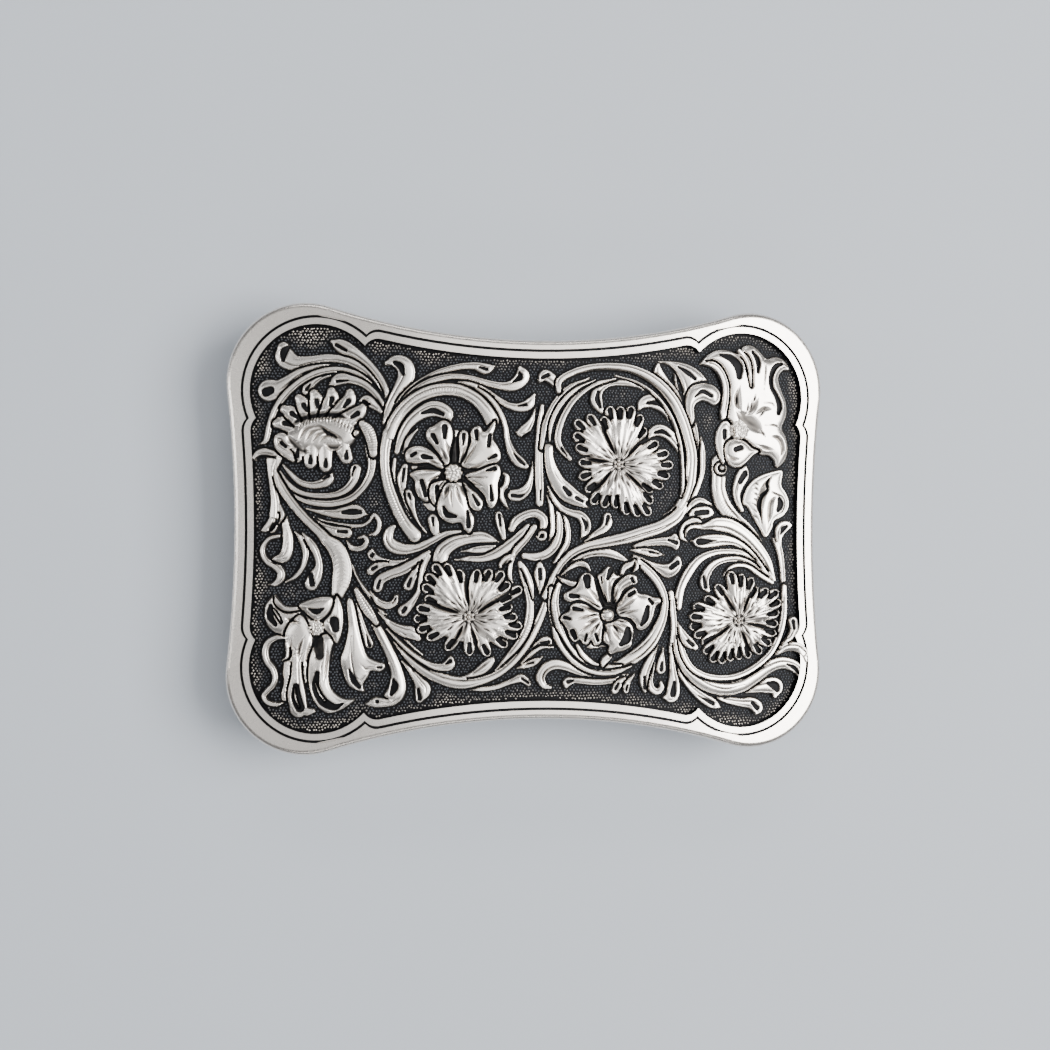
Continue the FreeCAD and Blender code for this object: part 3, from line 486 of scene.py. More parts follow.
lay([(1.0, 18.2), (0.7, 15.0), (0.55, 12.0), (0.55, 9.0), (0.65, 6.0), (0.65, 3.9)],
    [0.3, 0.55, 0.62, 0.62, 0.62, 0.55])
pit([(0.75, 5.7), (0.75, 4.4)], [0.18, 0.18])
cut([(0.5, 13.5), (0.45, 10.5), (0.5, 7.5)], 0.08)

# %% [markdown]
# The upper left corner. A long arc sweeps over the side-on carnation; fronds with rolled ends leave
# it outward, and the first of the big rings starts from the same root.
# %% Upper left fronds
plant("fronds_upper_left")
lay([(-21.7, 18.0), (-22.2, 19.8), (-23.5, 21.8), (-25.2, 23.4), (-27.5, 24.5), (-30.0, 24.9), (-33.0, 24.5),
     (-35.0, 24.2), (-36.4, 25.0), (-36.7, 26.4)],
    [0.3, 0.38, 0.5, 0.55, 0.55, 0.6, 0.72, 1.1, 1.45, 0.9], root=0)
pit([(-36.7, 24.6), (-36.6, 25.7), (-36.0, 26.4)], [0.35, 0.62, 0.35])
lay([(-21.5, 18.5), (-21.8, 20.4), (-22.8, 22.3), (-24.4, 24.2), (-26.3, 25.7), (-28.2, 26.6), (-29.6, 27.3)],
    [0.3, 0.4, 0.45, 0.52, 0.75, 1.0, 0.3], root=0)
pit([(-29.0, 26.8), (-27.6, 26.0)], [0.34, 0.28])
lay([(-27.5, 23.5), (-31.0, 23.6), (-34.0, 22.9), (-36.0, 21.6), (-37.4, 20.6), (-38.8, 20.2)],
    [0.25, 0.42, 0.55, 0.8, 1.15, 1.6], root=0)
pit([(-39.2, 19.9), (-38.5, 20.2)], [0.72, 0.62])
lay([(-27.0, 22.6), (-28.5, 22.7), (-30.3, 22.5), (-31.8, 21.8), (-33.0, 20.8), (-33.5, 20.0)],
    [0.15, 0.3, 0.4, 0.5, 0.7, 0.5], root=0)
pit([(-32.8, 21.0), (-33.3, 20.3)], [0.2, 0.3])
lay([(-22.2, 17.6), (-23.3, 19.8), (-25.0, 21.8), (-27.0, 22.9), (-29.5, 23.2), (-32.2, 22.6), (-34.6, 21.2),
     (-36.5, 19.4), (-37.9, 17.3), (-38.7, 15.0), (-39.2, 12.9), (-40.3, 12.3)],
    [0.45, 0.48, 0.48, 0.45, 0.45, 0.45, 0.48, 0.5, 0.5, 0.45, 0.4, 0.1], root=0)
cut([(-24.5, 21.0), (-27.0, 22.7), (-29.6, 23.0), (-32.2, 22.3), (-34.8, 20.7)], 0.08)
lay([(-22.0, 16.8), (-22.4, 18.3), (-23.6, 20.0), (-25.2, 21.2), (-27.0, 21.8), (-28.6, 21.8), (-29.7, 21.0)],
    [0.35, 0.4, 0.45, 0.5, 0.62, 0.85, 0.4])
pit([(-27.3, 21.6), (-28.9, 21.5)], [0.16, 0.28])
lay([(-22.1, 16.6), (-23.2, 17.8), (-24.6, 18.7), (-25.6, 18.6)], [0.2, 0.5, 0.8, 0.2])
pit([(-24.2, 18.2), (-25.0, 18.6)], [0.25, 0.35])

# %% [markdown]
# The side-on carnation is a cup. Seven lobes stand up from its rim, a ribbed dome shows inside,
# and scalloped petals hang under it with small round hollows.
# %% Side-on carnation
plant("carnation_side")
for tip, hollow in (((-37.6, 15.3), (-36.5, 15.4)), ((-36.5, 17.4), (-35.4, 16.8)), ((-34.4, 19.0), (-33.7, 18.0)),
                    ((-32.2, 19.7), (-31.8, 18.6)), ((-29.7, 20.0), (-29.6, 18.9)), ((-27.0, 19.8), (-27.2, 18.6)),
                    ((-25.2, 17.6), (-25.9, 16.8))):
    lay([(-31.0, 13.4), ((hollow[0] - 31.0) / 2, (hollow[1] + 13.4) / 2), hollow, tip],
        [1.2, 1.35, 1.05, 0.65], top=0.85, root=2.6, crease=0)
    pit([((hollow[0] * 5 - 31.0) / 6, (hollow[1] * 5 + 13.4) / 6), hollow], [0.3, 0.44])
lay([(-36.8, 10.4), (-38.4, 11.1), (-40.0, 11.2), (-40.9, 10.4), (-40.6, 10.0)],
    [0.2, 0.45, 0.5, 0.3, 0.1], top=0.8)
for root_x, tip in ((-34.2, (-34.6, 10.6)), (-32.4, (-32.7, 9.7)), (-30.6, (-30.5, 9.2)), (-28.4, (-27.5, 10.4))):
    lay([(root_x, 13.2), ((root_x + tip[0]) / 2, 11.6), tip], [0.9, 1.1, 0.95], top=0.9, root=2.6, crease=0)
    pit([(tip[0] + 0.05, tip[1] + 0.9), tip], [0.24, 0.42])
lay([(-34.6, 12.2), (-36.0, 12.4), (-36.8, 13.3), (-37.6, 13.2), (-37.4, 12.0), (-36.0, 10.9), (-35.2, 10.0)],
    [0.5, 0.7, 0.75, 0.4, 0.5, 0.7, 0.3], top=0.9)
pit([(-36.3, 12.0), (-36.9, 12.6)], [0.3, 0.3])
lay([(-34.9, 13.3), (-32.8, 13.7), (-30.6, 13.8), (-28.4, 13.8), (-26.9, 13.9)], [1.3, 2.3, 2.6, 2.2, 0.9],
    top=1.05, crown=0.35, rim=0.0, root=99, crease=0)
for swirl in range(4):
    fold([(-34.8 + swirl, 12.0), (-33.4 + swirl, 14.5 - 0.3 * swirl), (-31.0 + 0.8 * swirl, 14.7 - 0.5 * swirl),
          (-29.6 + 0.5 * swirl, 12.4 - 0.1 * swirl)], 0.42, 0.28)
fold([(-36.0, 14.6), (-34.2, 15.9), (-31.4, 16.5), (-28.6, 16.5), (-26.6, 15.6)], 0.75, 0.3, 1.0)
fold([(-36.2, 14.0), (-35.4, 12.6), (-34.0, 11.4), (-32.6, 11.2)], 0.7, 0.3, 0.8)
fold([(-31.0, 12.6), (-29.4, 11.8), (-27.6, 12.4)], 0.7, 0.3, 0.8)
for step in range(17):
    x = -34.2 + 0.46 * step
    rise = 1.9 * math.sin(math.pi * (x + 35.4) / 9.2)
    cut([(x - 0.2, 13.7 + rise - 0.2), (x, 13.7 + rise + 0.5), (x + 0.2, 13.7 + rise + 1.2)], 0.13, 0.3)
lay([(-26.1, 13.9), (-26.0, 14.05)], [0.4, 0.4], top=0.9, rim=0.0, crown=0.5, root=0, crease=0)
lay([(-25.2, 15.3), (-24.4, 14.4), (-23.8, 12.8), (-23.6, 11.0)],
    [0.55, 0.85, 0.8, 0.6], top=0.7, root=0, crease=0)
ticks([(-25.0, 15.2), (-24.4, 14.2), (-23.8, 12.8), (-23.6, 11.2)], 1.3, 0.38, 0.09)
fold([(-24.9, 15.0), (-24.1, 13.4), (-23.7, 11.6)], 0.25, 0.15)

# %% [markdown]
# The first ring goes round the upper left rose. Its outer fronds are part of it, the heavy band has
# a ladder of fine ticks along its middle, and its end is cut square.
# %% Ring round the upper left rose
plant("ring_upper_left")
lay([(-22.0, 15.5), (-21.3, 18.0), (-20.0, 20.3), (-18.9, 22.2), (-19.1, 23.8), (-20.4, 24.5), (-21.8, 24.2)],
    [0.35, 0.55, 0.85, 1.25, 1.25, 0.85, 0.3])
pit([(-19.3, 22.6), (-19.7, 23.7), (-20.5, 24.2)], [0.3, 0.55, 0.4])
lay([(-20.6, 17.5), (-19.4, 19.3), (-17.3, 21.2), (-14.5, 22.8), (-11.5, 23.7), (-9.0, 23.9), (-7.3, 23.5),
     (-6.0, 23.9)],
    [0.2, 0.35, 0.4, 0.42, 0.45, 0.55, 0.8, 0.2])
pit([(-8.3, 23.7), (-7.2, 23.4)], [0.2, 0.3])
lay([(-20.6, 16.8), (-18.4, 19.6), (-15.8, 21.4), (-12.5, 22.3), (-9.5, 22.1), (-7.0, 21.4), (-4.6, 21.0),
     (-3.0, 21.3), (-1.9, 22.5), (-2.3, 23.7)], [0.3, 0.42, 0.45, 0.42, 0.4, 0.45, 0.6, 0.95, 1.05, 0.35])
pit([(-3.3, 21.6), (-2.3, 22.3), (-2.4, 23.0)], [0.2, 0.45, 0.25])
cut([(-9.0, 21.9), (-6.4, 21.1), (-4.4, 21.1)], 0.1)
lay([(-13.0, 21.3), (-10.0, 21.3), (-7.5, 20.4), (-5.5, 19.1), (-4.0, 18.2), (-2.4, 17.9), (-1.0, 18.4),
     (-0.2, 19.8)],
    [0.2, 0.3, 0.35, 0.38, 0.45, 0.65, 0.8, 0.25])
pit([(-2.6, 18.1), (-1.4, 18.3)], [0.16, 0.28])
lay([(-20.2, 11.2), (-19.6, 13.4), (-18.4, 15.5), (-16.6, 17.0), (-14.8, 17.6), (-13.0, 17.0), (-12.6, 15.8)],
    [0.35, 0.55, 0.75, 0.95, 1.15, 0.95, 0.3])
pit([(-16.6, 16.9), (-15.0, 17.3), (-13.6, 16.8)], [0.25, 0.45, 0.35])
lay([(-19.2, 10.8), (-18.6, 12.9), (-17.2, 14.6)], [0.2, 0.35, 0.2])
lay([(-21.7, 12.5), (-20.7, 15.4), (-19.2, 17.6), (-17.1, 19.3), (-14.4, 20.3), (-11.5, 20.3), (-9.0, 19.2),
     (-7.4, 17.6), (-6.4, 16.0)], [0.85, 0.9, 0.9, 0.9, 0.9, 0.9, 0.9, 0.95, 1.05], top=0.72, root=0)
cut([(-20.4, 15.2), (-18.9, 17.3), (-16.9, 18.9), (-14.3, 19.8), (-11.6, 19.8), (-9.3, 18.8), (-7.8, 17.1)],
    0.1)
ticks([(-20.9, 15.6), (-19.3, 17.8), (-17.2, 19.5), (-14.4, 20.5), (-11.5, 20.5)], 0.5)
lay([(-20.5, 10.2), (-20.7, 8.0), (-20.4, 5.9), (-19.6, 4.0), (-18.6, 2.0), (-17.2, 0.0)],
    [0.25, 0.32, 0.34, 0.34, 0.34, 0.3])
lay([(-21.5, 14.0), (-21.9, 11.4), (-21.9, 9.0), (-21.6, 7.0), (-21.0, 5.0), (-20.1, 2.8), (-19.0, 0.8),
     (-17.6, -0.9)],
    [0.8, 0.75, 0.72, 0.75, 0.8, 0.8, 0.85, 1.0], top=0.72)
cut([(-21.3, 12.0), (-21.3, 9.5), (-21.1, 7.6)], 0.1)
ticks([(-21.6, 8.6), (-21.3, 6.2), (-20.4, 3.4), (-19.2, 1.0)], 0.62)
lay([(-9.4, 21.1), (-6.9, 19.4), (-5.2, 17.2), (-4.4, 15.0), (-4.1, 13.0), (-3.3, 11.0), (-2.3, 9.9),
     (-1.4, 9.3)],
    [0.2, 0.32, 0.35, 0.38, 0.45, 0.7, 0.8, 0.45])
pit([(-3.2, 11.2), (-2.4, 10.2), (-1.7, 9.6)], [0.15, 0.3, 0.25])
lay([(-15.9, -0.5), (-17.4, 1.6), (-18.6, 3.8), (-19.3, 5.8), (-19.4, 7.5), (-19.0, 9.2)],
    [0.15, 0.28, 0.38, 0.48, 0.72, 0.4])
pit([(-19.4, 7.0), (-19.15, 8.7)], [0.22, 0.3])
lay([(-16.2, -0.3), (-17.3, 1.5), (-17.9, 3.2), (-18.2, 4.4), (-18.5, 5.4)], [0.1, 0.22, 0.38, 0.62, 0.45])
pit([(-18.2, 4.4), (-18.45, 5.1)], [0.2, 0.3])
lay([(-14.6, -0.3), (-14.8, 0.8), (-15.0, 1.5)], [0.6, 0.78, 0.72])
pit([(-14.9, 0.6), (-15.0, 1.6)], [0.2, 0.3])

# %% [markdown]
# The upper left rose has nine petals and lips, each rolled over in its own way, so each is drawn by
# outline. A dark well lies beside every roll, lower petals with black and painted shade show in the
# gaps, and soft folds run out from the heart.
# %% Upper left rose
plant("rose_upper_left")


def petal(outline, hollows):
    """A rose petal and its hollows; each hollow is a path and its half widths."""
    sheet(outline, top=0.95, crown=0.2)
    for path, widths in hollows:
        pit(path, widths, sink=0.55)


def under_petals(cx, cy, radius):
    """The lower petals that show in the gaps between the upper ones, darkened with black and painted shade."""
    sheet([(cx + radius * (1 + 0.1 * math.sin(5 * turn)) * math.cos(turn),
            cy + radius * (1 + 0.1 * math.sin(5 * turn)) * math.sin(turn))
           for turn in (math.radians(angle) for angle in range(0, 360, 20))], top=0.42, rim=0.05, crown=0.0)
    # the lower petals get black and painted shade, with no sinking
    pit([(cx, cy), (cx + 0.1, cy)], [radius - 0.5] * 2, sink=0.0, black=0.8)


def ray(cx, cy, angle, marks):
    """Points on a line out of a flower's heart, at (distance, lean in radians) from its angle in
    degrees."""
    turn = math.radians(angle)
    return [(cx + along * math.cos(turn + lean), cy + along * math.sin(turn + lean)) for along, lean in marks]


def veins(cx, cy, reaches):
    """Soft folds that run out from a flower's heart, one to each (angle, reach)."""
    near = 1.5
    for angle, far in reaches:
        fold(ray(cx, cy, angle, ((near, -0.12), ((near + far) / 2, 0.03), (far, 0.1))), 0.34, 0.24, 0.75)


under_petals(-12.0, 8.25, 5.9)
petal([(-13.8, 8.6), (-15.6, 8.9), (-17.5, 8.6), (-18.4, 8.0), (-17.7, 7.0), (-17.6, 5.8), (-17.0, 4.6),
       (-16.0, 4.0), (-15.2, 4.4), (-15.1, 6.0), (-14.2, 7.3)],
      [([(-16.6, 7.0), (-16.3, 6.0), (-16.1, 4.9)], [0.4, 0.4, 0.3])])
petal([(-13.2, 7.2), (-15.0, 6.9), (-15.6, 5.4), (-15.2, 4.0), (-14.2, 3.4), (-13.2, 4.2), (-12.8, 5.5),
       (-12.8, 6.8)],
      [([(-14.4, 6.2), (-14.2, 4.5)], [0.35, 0.5])])
petal([(-12.9, 6.8), (-14.0, 5.0), (-14.4, 3.4), (-14.2, 2.2), (-13.3, 1.2), (-12.2, 0.8), (-11.0, 0.9),
       (-10.4, -0.1), (-9.6, -0.6), (-9.0, 0.4), (-8.9, 1.8), (-9.6, 3.0), (-10.1, 5.0), (-10.7, 6.8)],
      [([(-13.4, 3.2), (-12.9, 2.2), (-11.7, 1.9)], [0.3, 0.5, 0.3]),
       ([(-9.9, 2.6), (-9.8, 0.5)], [0.25, 0.4])])
petal([(-10.6, 7.0), (-9.4, 6.0), (-8.4, 5.2), (-7.6, 4.0), (-7.9, 2.8), (-8.8, 2.7), (-9.6, 3.4),
       (-10.0, 5.0)],
      [([(-9.2, 5.1), (-8.4, 3.7)], [0.2, 0.35])])
lay([(-5.0, 8.4), (-4.2, 7.8), (-4.3, 6.6), (-4.9, 5.8), (-5.0, 5.0), (-4.6, 4.0), (-3.9, 3.0)],
    [0.15, 0.35, 0.4, 0.4, 0.38, 0.35, 0.1], top=0.9)
petal([(-10.3, 7.9), (-8.6, 8.8), (-6.6, 9.6), (-5.3, 9.4), (-5.0, 8.2), (-5.4, 6.6), (-5.4, 4.6),
       (-6.0, 3.2), (-6.9, 3.2), (-7.6, 5.0), (-9.2, 6.6)],
      [([(-7.2, 8.6), (-6.0, 8.9)], [0.22, 0.4]), ([(-6.6, 6.4), (-6.4, 4.4)], [0.2, 0.35])])
petal([(-10.9, 9.4), (-10.2, 11.2), (-9.5, 12.7), (-9.6, 14.2), (-9.1, 15.0), (-8.1, 15.2), (-7.5, 14.4),
       (-6.0, 16.0), (-5.8, 15.0), (-6.2, 13.5), (-5.5, 12.3), (-5.0, 11.0), (-5.3, 9.9), (-6.8, 9.5),
       (-9.1, 8.7)],
      [([(-8.6, 13.2), (-8.7, 14.3)], [0.3, 0.4]), ([(-6.9, 12.2), (-6.7, 13.7)], [0.3, 0.36]),
       ([(-6.9, 10.3), (-5.9, 10.8)], [0.2, 0.34])])
petal([(-11.2, 9.6), (-11.2, 11.4), (-11.3, 13.2), (-11.0, 14.3), (-10.4, 14.6), (-9.8, 14.0), (-9.9, 12.4),
       (-10.4, 10.8)],
      [([(-10.6, 12.4), (-10.5, 13.8)], [0.2, 0.34])])
petal([(-12.6, 9.6), (-12.4, 11.6), (-12.0, 13.6), (-12.4, 15.4), (-13.6, 16.0), (-14.9, 15.2), (-15.9, 14.6),
       (-16.0, 13.2), (-15.0, 12.0), (-14.0, 10.6), (-13.4, 9.4)],
      [([(-13.3, 13.4), (-13.3, 14.9)], [0.3, 0.5]), ([(-14.4, 12.6), (-15.0, 13.7)], [0.3, 0.42])])
petal([(-13.3, 9.0), (-14.4, 10.8), (-16.0, 12.0), (-17.6, 12.2), (-18.9, 11.4), (-18.9, 9.9), (-17.4, 9.5),
       (-15.6, 9.6), (-14.2, 8.8)], [([(-15.2, 10.4), (-16.4, 10.6)], [0.3, 0.42]),
                                    ([(-17.5, 11.1), (-18.1, 10.7)], [0.3, 0.32])])
veins(-12.0, 8.25, [(-12, 5.4), (12, 5.2), (48, 6.0), (62, 5.0), (80, 6.4), (100, 5.2), (128, 5.4), (150, 4.8),
                    (170, 5.2), (196, 4.4), (222, 4.6), (244, 4.0), (262, 5.2), (280, 5.4), (305, 4.4), (330, 5.0)])
for angle in range(10, 370, 30):
    cut(ray(-12.0, 8.25, angle, ((1.5, 0.0), (2.3, 0.05), (3.3, 0.12))), 0.15, 0.25)
for angle in (8, 55, 118, 165, 205, 250, 298):
    fold(ray(-12.0, 8.25, angle, ((1.3, 0.0), (2.6, 0.0), (4.4, 0.0))), 0.55, 0.3, 0.8)
lay([(-12.05, 8.25), (-11.95, 8.25)], [1.2, 1.2], top=0.65, rim=0.0, root=0, crease=0)
beads(-12.0, 8.25, 1.05, 0.27, 0.75)

# %% [markdown]
# A carnation is a ring of small lobes, each with a hollow near its tip. Only the places of the
# hollows differ from flower to flower, so one function makes them all: it lays a lobe through each
# hollow, ribs the petals between, dishes the middle, paints shade round it and sets the stamens.
# %% How a carnation is modelled
LOBE_TOP = 0.9
DISH_RADIUS = 2.2  # the hollow round the stamens


def carnation(cx, cy, hollows, clefts):
    """Lobes through the hollows, a disc that joins them, bulging petals between the clefts (angles
    in degrees), fine ribs, a dished heart with painted shade round it, and its beads."""
    hollows = sorted(hollows, key=lambda place: math.atan2(place[1] - cy, place[0] - cx))
    spokes = []
    for hx, hy in hollows:
        reach = math.hypot(hx - cx, hy - cy)
        spokes.append((reach, (hx - cx) / reach, (hy - cy) / reach))
    for reach, ux, uy in spokes:
        lay([(cx + along * ux, cy + along * uy) for along in (0.55 * reach, reach - 0.2, reach + 0.55)],
            [0.8, 0.86, 0.5], top=LOBE_TOP, root=0.12 * reach, crown=0.12, crease=0)
    sheet([(cx + (reach - 0.75) * ux, cy + (reach - 0.75) * uy) for reach, ux, uy in spokes],
          top=LOBE_TOP, rim=0.0, crown=0.1, root=99)
    flower = owner == len(plants) - 1
    place_x, place_y = np.meshgrid(grid_x - cx, grid_y - cy)
    away, turn = np.hypot(place_x, place_y), np.degrees(np.arctan2(place_y, place_x))
    angles = [math.degrees(math.atan2(uy, ux)) for _, ux, uy in spokes]
    around = np.interp(turn, [angles[-1] - 360, *angles, angles[0] + 360], np.arange(-1, len(angles) + 1))
    clefts = sorted(clefts)
    full_circle = [clefts[-1] - 360, *clefts, clefts[0] + 360]
    petal_share = np.interp(turn, full_circle, np.arange(-1, len(clefts) + 1)) % 1
    bulge = 0.34 * np.sin(math.pi * petal_share) - 0.2
    waves = 0.06 * np.sin(2 * math.pi * petal_share * 2 + away * 1.1)
    ribs = 0.03 * np.cos(2 * math.pi * around)
    dish = 0.4 * np.exp(-(away / DISH_RADIUS) ** 2)
    height[flower] += ((bulge + waves + ribs) * smooth((away - 0.8) / 2.2) - dish)[flower]
    for reach, ux, uy in spokes:
        pit([(cx + along * ux, cy + along * uy) for along in (reach - 0.65, reach + 0.4)], [0.38, 0.46], sink=0.6)
    for cleft in clefts:
        ux, uy = math.cos(math.radians(cleft)), math.sin(math.radians(cleft))
        far = min(spokes, key=lambda spoke: math.hypot(spoke[1] - ux, spoke[2] - uy))[0]
        path = ray(cx, cy, cleft, ((1.2, -0.15), (2.6, 0.02), (far * 0.85, 0.04), (far + 0.9, 0.0)))
        fold(path, 0.5, 0.4, 0.6)
        cut(path, 0.15, 0.3)
    for index, start in enumerate(angles):
        near, far = (1.1, 3.2) if index % 2 else (2.2, 4.1)
        cut(ray(cx, cy, start + 3.0, ((near, -0.1), ((near + far) / 2, 0.0), (far, 0.03))), 0.16, 0.2)
    # painted shade round the dished heart: darker between the ribs, lighter on their tops, laid in with the black
    painted_heart_shade = (0.7 - 0.3 * np.cos(2 * math.pi * around)) * np.exp(-(away / 3.2) ** 2)
    stain_and_shade[flower] = np.maximum(stain_and_shade, painted_heart_shade)[flower]
    pit([(cx - 0.05, cy), (cx + 0.05, cy)], [0.95, 0.95], sink=0.2)
    beads(cx, cy, 0.6, 0.26, 0.62, 2)


print("a carnation's lobes stand", LOBE_TOP, "mm over the field")

# %% [markdown]
# The lower left carnation lies inside two bows that come down from the knot and meet the ring of
# its neighbour.
# %% Bows and leaves round the lower left carnation
plant("bows_lower_left")
lay([(-19.4, -19.2), (-18.0, -20.7), (-16.9, -22.2), (-16.3, -23.4), (-16.8, -24.7)],
    [0.12, 0.42, 0.75, 1.15, 0.6])
pit([(-17.0, -23.3), (-16.8, -24.6)], [0.3, 0.4])
cut([(-17.9, -21.0), (-16.6, -22.6), (-15.8, -23.6)], 0.1)
lay([(-2.4, -19.4), (-0.8, -18.0), (0.6, -16.9), (1.7, -16.4), (2.3, -16.9)], [0.1, 0.4, 0.55, 0.78, 0.3])
pit([(0.9, -16.6), (2.0, -16.5)], [0.2, 0.32])
lay([(-2.6, -20.3), (-1.2, -19.9), (0.0, -19.4), (1.2, -18.7)], [0.15, 0.45, 0.5, 0.1])
pit([(-1.2, -19.7), (-0.2, -19.5)], [0.15, 0.18])
lay([(-2.0, -19.6), (-0.5, -18.2), (1.0, -17.3), (2.8, -17.3)], [0.2, 0.28, 0.28, 0.1])
lay([(-10.6, -22.9), (-8.2, -23.3), (-5.8, -23.1), (-3.6, -22.3), (-1.9, -21.8), (-0.9, -22.6)],
    [0.3, 0.36, 0.36, 0.4, 0.62, 0.4])
pit([(-1.9, -21.8), (-1.0, -22.4)], [0.22, 0.26])
lay([(-20.4, -16.4), (-18.6, -18.5), (-16.3, -20.4), (-13.6, -21.8), (-10.8, -22.4), (-8.0, -22.1),
     (-5.6, -21.2), (-3.6, -19.7), (-1.9, -17.8), (-0.5, -15.6), (0.7, -13.2), (1.6, -10.8), (2.3, -8.8)],
    [0.25, 0.5, 0.75, 0.85, 0.9, 0.62, 0.52, 0.55, 0.58, 0.65, 0.6, 0.52, 0.45], root=0)
cut([(-16.0, -20.3), (-13.4, -21.6), (-10.6, -22.0), (-8.0, -21.7)], 0.1)
lay([(-10.8, -21.6), (-9.0, -21.1), (-7.6, -20.3), (-6.5, -19.3), (-6.0, -18.6)], [0.15, 0.4, 0.75, 0.6, 0.1])
cut([(-9.0, -20.9), (-7.6, -20.0), (-6.8, -19.3)], 0.1)
lay([(-2.6, -16.8), (-4.0, -18.8), (-5.5, -20.2)], [0.22, 0.22, 0.15])
lay([(-5.8, -20.6), (-4.2, -18.8), (-2.6, -17.0), (-1.4, -15.0), (-0.8, -13.0), (-0.7, -11.0), (-1.0, -9.2),
     (-1.6, -7.0), (-2.3, -5.0)], [0.15, 0.32, 0.52, 0.6, 0.62, 0.58, 0.52, 0.5, 0.3])
ticks([(-1.9, -16.0), (-1.0, -14.0), (-0.75, -12.5)], 0.7)
lay([(-2.2, -4.8), (-1.4, -6.0), (-0.6, -8.0), (-0.25, -10.0)], [0.3, 0.4, 0.4, 0.2])
lay([(-21.6, -14.5), (-19.6, -16.6), (-17.4, -18.5), (-15.2, -19.8), (-13.6, -20.1), (-12.5, -19.7),
     (-12.3, -18.9)],
    [0.15, 0.26, 0.32, 0.42, 0.56, 0.82, 0.45])
pit([(-13.0, -19.6), (-12.4, -19.2)], [0.2, 0.36])
lay([(-16.2, -4.3), (-17.0, -5.7), (-17.9, -7.0), (-18.5, -8.2)], [0.2, 0.45, 0.62, 0.75])
pit([(-18.1, -7.2), (-18.5, -8.2)], [0.25, 0.34])
lay([(-15.6, -3.9), (-16.3, -5.5), (-16.7, -7.3), (-17.1, -9.2), (-18.2, -10.9), (-19.2, -11.9)],
    [0.4, 0.42, 0.35, 0.35, 0.6, 0.82])
pit([(-18.9, -11.5), (-19.25, -12.0)], [0.34, 0.34])
plant("carnation_lower_left")
carnation(-9.7, -12.8, [(-14.3, -5.9), (-12.7, -5.9), (-11.0, -6.8), (-8.6, -6.8), (-7.0, -6.7), (-5.3, -6.9),
                        (-4.5, -8.4), (-2.8, -9.0), (-15.2, -7.3), (-15.6, -8.7), (-15.2, -10.3), (-16.3, -11.6),
                        (-16.7, -13.0), (-16.2, -14.4), (-14.9, -15.5), (-12.4, -16.8), (-9.6, -17.4),
                        (-7.2, -17.6), (-4.9, -16.5), (-3.5, -15.3), (-2.9, -14.0), (-3.6, -12.8), (-4.3, -11.5),
                        (-4.2, -10.1)], [92, 28, -76, -122, 158])

# %% [markdown]
# The upper right ring holds the other open carnation. It is wider than the first ring and its
# strands lie side by side like rope.
# %% Ring and leaves on the upper right
plant("ring_upper_right")
lay([(24.3, 18.8), (23.9, 17.0), (24.3, 14.0), (24.9, 11.0)], [0.3, 0.55, 0.6, 0.5])
lay([(22.4, 18.2), (21.8, 20.0), (21.3, 22.0), (21.0, 24.9)], [0.2, 0.3, 0.2, 0.1])
lay([(22.5, 17.6), (21.2, 20.2), (19.4, 22.2), (18.5, 23.6), (18.5, 25.0)], [0.4, 0.6, 0.75, 0.7, 0.2])
sheet([(18.6, 25.2), (20.2, 24.6), (21.4, 23.4), (22.4, 21.2), (22.6, 19.2), (23.7, 19.4), (24.2, 20.8),
       (25.8, 22.3), (26.4, 22.4), (25.2, 23.8), (23.6, 24.8), (21.4, 25.3)], top=0.7)
pit([(21.6, 24.4), (23.0, 23.6), (24.2, 22.7)], [0.2, 0.4, 0.3])
cut([(22.9, 20.4), (22.8, 21.8), (22.0, 23.6)], 0.1)
sheet([(22.7, 19.0), (23.4, 21.3), (25.0, 22.1), (27.0, 22.0), (28.3, 20.9), (28.3, 19.5), (27.4, 18.7),
       (26.2, 19.2), (25.2, 19.3), (24.3, 18.5), (24.3, 16.5), (23.4, 15.5)], top=0.8)
pit([(24.2, 20.0), (25.4, 20.8), (26.8, 20.2)], [0.16, 0.35, 0.32])
lay([(17.8, 20.4), (15.6, 21.4), (13.2, 21.8), (10.9, 21.6), (9.4, 20.6), (9.1, 19.0), (9.9, 17.6)],
    [0.2, 0.35, 0.42, 0.5, 0.75, 0.9, 0.4])
pit([(9.3, 20.3), (9.2, 19.2), (9.6, 18.2)], [0.3, 0.45, 0.3])
lay([(22.1, 14.0), (21.3, 16.2), (19.6, 18.3), (17.7, 19.2), (16.2, 18.9), (15.6, 18.0)],
    [0.35, 0.75, 0.95, 1.05, 0.8, 0.25])
pit([(19.9, 17.9), (18.4, 18.9), (16.9, 18.9)], [0.2, 0.42, 0.3])
lay([(22.3, 10.8), (21.7, 12.6), (20.3, 14.2), (18.8, 14.9), (17.6, 14.5), (17.1, 13.7)],
    [0.3, 0.65, 0.8, 0.9, 0.65, 0.2])
pit([(20.4, 14.0), (19.2, 14.7), (18.0, 14.5)], [0.15, 0.36, 0.25])
lay([(0.9, 12.0), (1.5, 15.6), (3.0, 18.8), (5.2, 21.0), (8.0, 22.4)], [0.3, 0.42, 0.45, 0.42, 0.2], root=0)
lay([(5.2, 10.4), (3.6, 12.3), (3.4, 14.2), (4.3, 16.9), (6.0, 19.4), (8.6, 21.4), (12.0, 22.4)],
    [0.3, 0.5, 0.48, 0.45, 0.42, 0.38, 0.2], root=0)
pit([(4.6, 10.9), (3.9, 12.0)], [0.16, 0.24])
lay([(2.1, 12.4), (2.3, 15.3), (3.6, 18.2), (5.9, 20.6), (9.0, 22.2)], [0.15, 0.3, 0.35, 0.3, 0.1], root=0)
lay([(3.6, 20.6), (2.6, 22.0), (1.4, 22.7), (0.7, 21.9)], [0.5, 0.75, 0.85, 0.35])
pit([(1.0, 22.3), (1.8, 22.7)], [0.28, 0.35])
